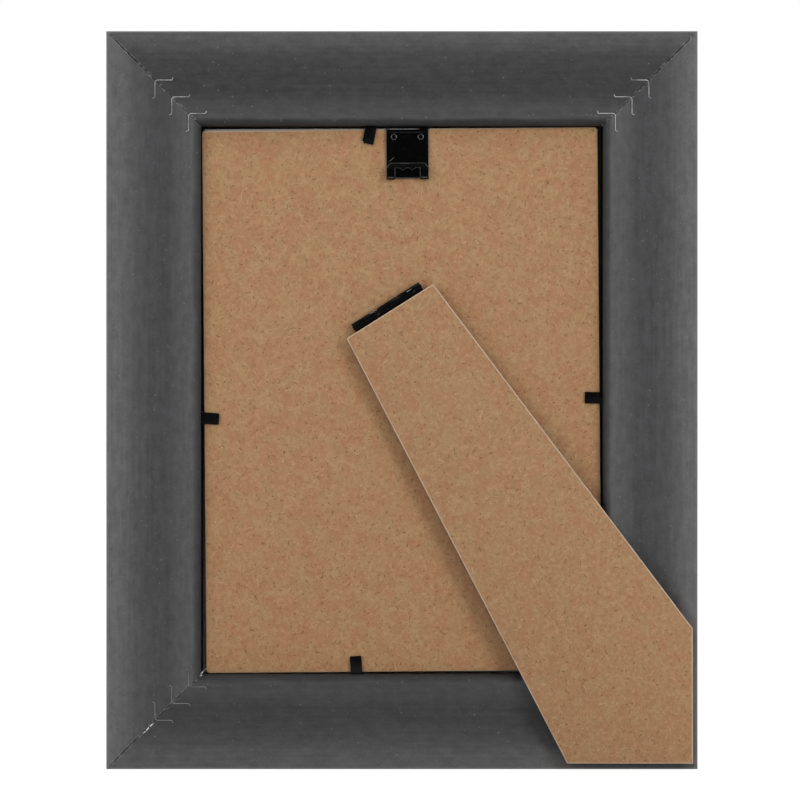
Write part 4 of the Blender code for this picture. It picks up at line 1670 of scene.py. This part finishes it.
@dataclass
class HangerRivets:
    """The two tubular rivets that fasten the hanger, with rolled rims."""

    hanger: Hanger
    spacing: float = 0.0089
    from_top: float = 0.0028
    head_radius: float = 0.00103
    bore_radius: float = 0.00066
    head_height: float = 0.00030
    shank_radius: float = 0.0007
    shank_length: float = 0.0030
    around_steps: int = 40
    roll_steps: int = 16
    seat_share: float = 0.45

    def tree(self, sizes: dict[str, object]) -> ShapeTree:
        """The shape tree of the rivets: a rolled rim on a tube, set at each point.

        Args:
            sizes: A value for each input.

        Returns:
            The tree.
        """
        tree = ShapeTree("tubular_rivets", sizes)
        given = tree.given
        head, bore, shank = (given[f"{name} Radius"] for name in ("Head", "Bore", "Shank"))
        roll = (head - bore) * 0.5
        ring = tree.node("CurvePrimitiveCircle", self.around_steps, (head + bore) * 0.5)
        rim = tree.node("CurveToMesh", ring, tree.node("CurvePrimitiveCircle", self.roll_steps, roll))
        squash = given["Head Height"] / (roll * 2.0)
        rim = tree.node("Transform", rim, None, None, tree.vector(1.0, 1.0, squash))
        track = tree.node("CurvePrimitiveCircle", self.around_steps, (shank + bore) * 0.5)
        track = tree.node("SetCurveNormal", track, mode="Z_UP")
        wall = tree.node("CurvePrimitiveQuadrilateral", shank - bore, given["Shank Length"])
        tube = tree.node("CurveToMesh", track, wall)
        tube = tree.node("Transform", tube, tree.vector(0.0, 0.0, given["Shank Length"] * -0.5))
        both = tree.node("JoinGeometry")
        for shape in (rim, tube):
            tree.feed(both.node.inputs[0], shape)
        upright = tree.node("Transform", both, None, (-QUARTER, 0.0, 0.0))
        tree.finish(tree.set_out(upright, 0.0, given["Turn"], 0.0), ("Steel", None))
        return tree

    def build(self) -> None:
        """Build and dress the rivets."""
        hanger = self.hanger
        top = hanger.panel.height / 2 - self.from_top
        level = hanger.seat_gap + hanger.thickness + self.head_height * self.seat_share
        offsets = (hanger.offset + self.spacing / 2, hanger.offset - self.spacing / 2)
        places = [hanger.panel.place @ Vector((offset, level, top)) for offset in offsets]
        steel = BrightSteel("rivet_steel", (0.20, 0.20, 0.205), (0.03, 0.03, 0.031), 0.16, 0.3, 0.0009).made()
        fields = ("head_radius", "bore_radius", "head_height", "shank_radius", "shank_length")
        sizes = {**sizes_of(self, *fields), "Turn": hanger.panel.turn, "Steel": steel}
        mesh = self.tree(sizes).grown(point_mesh("rivet_points", places), sizes)
        nodes = ("hanger_rivet_left", "hanger_rivet_right")
        Piece("hanger_rivets", "bright_steel", nodes).riding("frame", mesh, [steel], 45.0)


@dataclass
class EaselLeg:
    """The fibreboard leg and its hinge, in directions that follow the hinge's axis."""

    layout: Layout
    lean: float = math.radians(32.2)
    rest_tilt: float = math.radians(1.39397)
    taper: float = math.radians(4.76)
    top_width: float = 0.0338
    foot_inset: float = 0.0022
    side_inset: float = 0.0019
    thickness: float = 0.0025
    bevel: float = 0.00038
    seat_gap: float = 0.0003
    hinge_length: float = 0.0263
    knuckle_gap: float = 0.00015
    middle_knuckle: float = 0.0088
    barrel_radius: float = 0.00145
    roll_thickness: float = 0.00062
    roll_edge_radius: float = 0.00012
    roll_start: float = -math.radians(140)
    roll_sweep: float = math.radians(318)
    leaf_thickness: float = 0.0004
    leaf_bevel: float = 0.00008
    leaf_from_barrel: float = 0.0003
    strap_bevel: float = 0.00004
    strap_from_barrel: float = 0.0006
    panel_leaf_reach: float = 0.0120
    leg_leaf_reach: float = 0.0100
    pin_radius: float = 0.0006
    pin_proud: float = 0.0002
    pin_ease_share: float = 0.4
    pin_ease_angles: tuple[float, ...] = (0.3, 0.8, 1.2, QUARTER)
    pin_facets: int = 24
    roll_steps: int = 40

    @property
    def hinge_place(self) -> Matrix:
        """The directions of the hinge's fixed leaf."""
        return Matrix.Translation(self.layout.hinge) @ Matrix.Rotation(self.lean, 4, "Y")

    @property
    def leg_place(self) -> Matrix:
        """The directions of the leg."""
        return self.hinge_place @ Matrix.Rotation(self.rest_tilt, 4, "X")

    @property
    def leg_leaf_low(self) -> float:
        """The level of the moving leaf's lower face. The fixed leaf's is at the foot of the barrel."""
        return -self.barrel_radius + self.leaf_thickness + self.seat_gap

    def to_hinge(self, x: float, z: float) -> Vector:
        """A point of the back plane, as (along the hinge, up the leg)."""
        off = Vector((x - self.layout.hinge.x, z - self.layout.hinge.z))
        return Matrix.Rotation(self.lean, 2) @ off

    def outline(self) -> list[Point]:
        """The leg's five corners, two of whose edges follow the frame's.

        Returns:
            The corners, as (along the hinge, up the leg).
        """
        top = -(self.barrel_radius + self.seat_gap)
        corner = self.to_hinge(self.side_inset - self.layout.half_width, self.foot_inset)
        level = Vector((math.cos(self.lean), math.sin(self.lean)))
        upright = Vector((-math.sin(self.lean), math.cos(self.lean)))
        crossings = []
        for side, way in ((1, level), (-1, upright)):
            start = Vector((side * self.top_width / 2, top))
            edge = Vector((side * math.sin(self.taper), -math.cos(self.taper)))
            run = (corner - start).cross(way) / edge.cross(way)
            crossings.append(start + run * edge)
        half = self.top_width / 2
        return [(-half, top), (half, top), tuple(crossings[0]), tuple(corner), tuple(crossings[1])]

    def knuckle_tree(self, sizes: dict[str, object]) -> ShapeTree:
        """The shape tree of a rolled knuckle: an open roll of sheet, set at each point.

        Args:
            sizes: A value for each input.

        Returns:
            The tree.
        """
        tree = ShapeTree("rolled_knuckles", sizes)
        given = tree.given
        path = given["Barrel Radius"] - given["Roll Thickness"] * 0.5
        roll = tree.node("CurveArc", self.roll_steps, path, given["Roll Start"], given["Roll Sweep"])
        roll = tree.node("SetCurveNormal", roll, mode="Z_UP")
        strip = tree.strip(given["Roll Thickness"], given["Length"], given["Roll Edge Radius"])
        shape = tree.node("CurveToMesh", roll, strip, None, True)
        tree.finish(tree.set_out(shape), ("Black", None))
        return tree

    def sheet(self, ends: Point, reach: float, top: float, low: float, bevel: float) -> bpy.types.Mesh:
        """A rectangle of the hinge's sheet.

        Args:
            ends: Where it starts and ends along the hinge.
            reach: How far down from the axis its foot is.
            top: How high its top is.
            low: The level of its lower face.
            bevel: How far its edges are eased.

        Returns:
            The mesh.
        """
        start, end = ends
        corners = [(start, -reach), (end, -reach), (end, top), (start, top)]
        return meshed("sheet", slab(corners, [[0, 1, 2, 3]], low, low + self.leaf_thickness, bevel))

    def leaf(
        self,
        low: float,
        reach: float,
        knuckles: list[Point],
        black: bpy.types.Material,
    ) -> bpy.types.Mesh:
        """One leaf of the hinge, with its rolled knuckles.

        Args:
            low: The level of its lower face.
            reach: How far it reaches down from the axis.
            knuckles: The middle and the length of each of its knuckles.
            black: Its finish.

        Returns:
            The leaf's mesh, in directions that follow the hinge.
        """
        half = self.hinge_length / 2
        top = -self.barrel_radius - self.leaf_from_barrel
        meshes = [self.sheet((-half, half), reach, top, low, self.leaf_bevel)]
        fields = ("barrel_radius", "roll_thickness", "roll_edge_radius", "roll_start", "roll_sweep")
        for middle, length in knuckles:
            ends = (middle - length / 2, middle + length / 2)
            foot = self.barrel_radius + self.strap_from_barrel
            meshes.append(self.sheet(ends, foot, 0.0, low, self.strap_bevel))
            sizes = {**sizes_of(self, *fields), "Length": length, "Black": black}
            roll = self.knuckle_tree(sizes).grown(point_mesh("knuckle", [Vector()]), sizes)
            roll.transform(Matrix(((0, 0, 1, middle), (1, 0, 0, 0), (0, 1, 0, 0), (0, 0, 0, 1))))
            meshes.append(roll)
        return gathered("leaf", meshes)

    def build_leg(self) -> None:
        """Build and dress the leg itself."""
        corners = self.outline()
        face = self.leg_leaf_low + self.leaf_thickness + self.seat_gap
        bm = slab(corners, [list(range(len(corners)))], face, face + self.thickness, self.bevel, 3)
        board = Fibreboard(
            tan=(0.375, 0.215, 0.110),
            reddish=(0.370, 0.190, 0.098),
            yellowish=(0.372, 0.232, 0.118),
            # Paler and greyer sawn edges than the panel's, partly as painted highlight on the leg's rim.
            sawn_color=(0.580, 0.445, 0.335),
            sawn_dark=(0.470, 0.340, 0.240),
            shift=0.37,
        )
        faces = board.face("board_face_leg", self.lean, self.layout.hinge)
        edges = board.sawn("board_edge_leg", 0.0, Vector())
        piece = Piece("leg_board", "fibreboard", ("easel_leg",))
        piece.riding("leg", meshed("leg", bm, self.leg_place), [faces, edges])

    def build(self) -> None:
        """Build and dress the leg, the hinge's two leaves and its pin."""
        self.build_leg()
        # Painted highlights along the barrel and below it.
        rubs = (
            Rub(0.00460, 0.00112, 0.0036, 0.00026, 0.95),
            Rub(-0.00897, 0.00072, 0.0021, 0.00024, 0.80),
            Rub(0.00370, -0.00060, 0.0012, 0.00030, 0.16, math.radians(25)),
            Rub(-0.01020, -0.00040, 0.0012, 0.00030, 0.14, math.radians(25)),
        )
        color = (0.0016, 0.0022, 0.0025)
        finish = BlackSteel("black_hinge", color, smooth=0.18, dull=0.30, gloss=0.16, rubs=rubs)
        black = finish.made(self.lean, self.layout.hinge)
        end = (self.hinge_length - self.middle_knuckle) / 2 - self.knuckle_gap
        out = self.hinge_length / 2 - end / 2
        fixed = self.leaf(-self.barrel_radius, self.panel_leaf_reach, [(-out, end), (out, end)], black)
        fixed.transform(self.hinge_place)
        Piece("hinge_fixed_leaf", "black_steel", ("hinge_leaf_panel",)).riding("frame", fixed, [black], 40.0)
        moving = self.leaf(self.leg_leaf_low, self.leg_leaf_reach, [(0.0, self.middle_knuckle)], black)
        moving.transform(self.leg_place)
        Piece("hinge_moving_leaf", "black_steel", ("hinge_leaf_leg",)).riding("leg", moving, [black], 40.0)
        half = self.hinge_length / 2 + self.pin_proud
        ease = self.pin_radius * self.pin_ease_share
        profile = [(0.0, -half)]
        for angle in self.pin_ease_angles:
            across = self.pin_radius - ease + ease * math.sin(angle)
            profile.append((across, -half + ease * (1 - math.cos(angle))))
        profile += [(across, -along) for across, along in reversed(profile)]
        pin = meshed("pin", lathed(profile, self.pin_facets), self.hinge_place)
        Piece("hinge_axle", "black_steel", ("hinge_pin",)).riding("frame", pin, [black], 40.0)


@dataclass
class Glazing:
    """The glass, which keeps its CAD shape, and the paper insert, which lies a little askew in its play."""

    layout: Layout
    paper_width: float = 0.1300
    paper_height: float = 0.1800
    paper_turn: float = math.radians(0.30)
    paper_lift: float = 0.0002

    def build(self) -> None:
        """Build and dress the two sheets."""
        glass = frame["nodes"]["glass"].data
        glass.materials.clear()
        glass.materials.append(ClearGlass().made())
        low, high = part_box("paper_insert")
        x, z = self.paper_width / 2, self.paper_height / 2
        corners = [(-x, -z), (x, -z), (x, z), (-x, z)]
        place = Matrix.Translation(self.layout.middle + Vector((0.0, 0.0, self.paper_lift)))
        place = place @ Matrix.Rotation(self.paper_turn, 4, "Y")
        mesh = meshed("paper", slab(corners, [[0, 1, 2, 3]], low.y, high.y, 0.0), place)
        Piece("paper_sheet", "white_paper", ("paper_insert",)).riding("frame", mesh, [PlainPaper().made()])


@dataclass
class Studio:
    """The floor, the white surroundings, the lamps and the camera."""

    layout: Layout
    ambient: float = 0.41
    dim_side: float = 0.05
    lens: float = 150.0
    distance: float = 1.10
    sensor: float = 36.0
    floor_reach: float = 4.0
    aim: Point = (0.000634, 0.12184)
    lamps: tuple[tuple[str, Place, Point, float], ...] = (
        ("key_lamp", (-0.95, 1.05, 0.55), (0.50, 0.70), 7.0),
        ("fill_lamp", (1.00, 0.95, 0.50), (0.60, 0.80), 4.5),
        ("top_lamp", (0.10, 0.55, 1.30), (0.80, 0.35), 3.0),
        ("front_key_lamp", (0.75, -0.85, 1.25), (0.70, 0.80), 9.0),
        ("front_fill_lamp", (-0.85, -0.80, 1.05), (0.70, 0.80), 5.5),
    )

    def floor(self) -> None:
        """The floor: it shows white, keeps a soft shadow of the object, and is dim in mirrors behind it."""
        bm = bmesh.new()
        bmesh.ops.create_grid(bm, x_segments=1, y_segments=1, size=self.floor_reach)
        graph = FinishGraph("white_floor")
        x, y, _ = graph.parts(graph.object_coords)
        path = graph.add("ShaderNodeLightPath")
        mirrored = path["Is Glossy Ray"] - path["Is Transmission Ray"]
        mirrored = mirrored * y.ranged(0.0, 0.2, 1.0, self.dim_side)
        seen = path["Is Camera Ray"].most(mirrored)
        plain = path["Is Camera Ray"].most(path["Is Glossy Ray"])
        shade = plain.mixed((0.72, 0.72, 0.72), (0.20, 0.20, 0.20))
        matt = graph.add("ShaderNodeBsdfDiffuse", shade)
        away = (x * x + y * y).step("SQRT")
        glow = graph.add("ShaderNodeEmission", WHITE, seen * away.ranged(0.3, 1.0, 0.88, 1.0))
        graph.add("ShaderNodeOutputMaterial", graph.add("ShaderNodeAddShader", matt, glow))
        mesh = meshed("floor", bm)
        mesh.materials.append(graph.material)
        linked("floor", mesh)

    def surroundings(self) -> None:
        """White surroundings for the camera, and for what shines or is clear."""
        world = bpy.data.worlds.new("surroundings")
        bpy.context.scene.world = world
        world.use_nodes = True
        world.node_tree.nodes.clear()
        graph = Graph(world.node_tree)
        path = graph.add("ShaderNodeLightPath")
        shining = path["Is Glossy Ray"].most(path["Is Transmission Ray"])
        toward = graph.parts(graph.add("ShaderNodeTexCoord")["Generated"])[1]
        shone = toward.ranged(0.30, -0.15, self.dim_side, 1.0)
        level = shining.ranged(0.0, 1.0, self.ambient, shone)
        level = path["Is Camera Ray"].ranged(0.0, 1.0, level, 1.0)
        graph.add("ShaderNodeOutputWorld", graph.add("ShaderNodeBackground", WHITE, level))

    def lights(self) -> None:
        """The soft lamps, all turned to the middle of the frame."""
        for name, place, (width, height), energy in self.lamps:
            lamp = bpy.data.lights.new(name, "AREA")
            lamp.shape = "RECTANGLE"
            lamp.size = width
            lamp.size_y = height
            lamp.energy = energy
            shown = linked(name, lamp)
            shown.location = place
            shown.rotation_mode = "QUATERNION"
            shown.rotation_quaternion = (self.layout.middle - Vector(place)).to_track_quat("-Z", "Y")
            shown.visible_camera = False
            shown.visible_transmission = False

    def camera(self) -> None:
        """The camera, square on to the back."""
        data = bpy.data.cameras.new("camera")
        data.lens = self.lens
        data.sensor_width = self.sensor
        camera = linked("camera", data)
        camera.location = (self.aim[0], self.layout.rear + self.distance, self.aim[1])
        camera.rotation_euler = (QUARTER, 0.0, math.pi)
        bpy.context.scene.camera = camera

    def build(self) -> None:
        """Set up the studio."""
        self.floor()
        self.surroundings()
        self.lights()
        self.camera()
        bpy.context.scene.view_settings.view_transform = "Standard"


def main() -> None:
    """Build and dress the frame, sub-assembly by sub-assembly."""
    logging.basicConfig(level=logging.INFO, format="%(name)s %(message)s")
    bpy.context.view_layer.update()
    layout = Layout.measured()
    Studio(layout).build()
    moulding = Moulding(layout)
    moulding.build(CornerNails(layout, moulding).build())
    FlexibleTabs(layout).build()
    panel = BackPanel(layout)
    panel.build()
    hanger = Hanger(panel)
    hanger.build()
    HangerRivets(hanger).build()
    EaselLeg(layout).build()
    Glazing(layout).build()


if __name__ == "__main__":
    main()
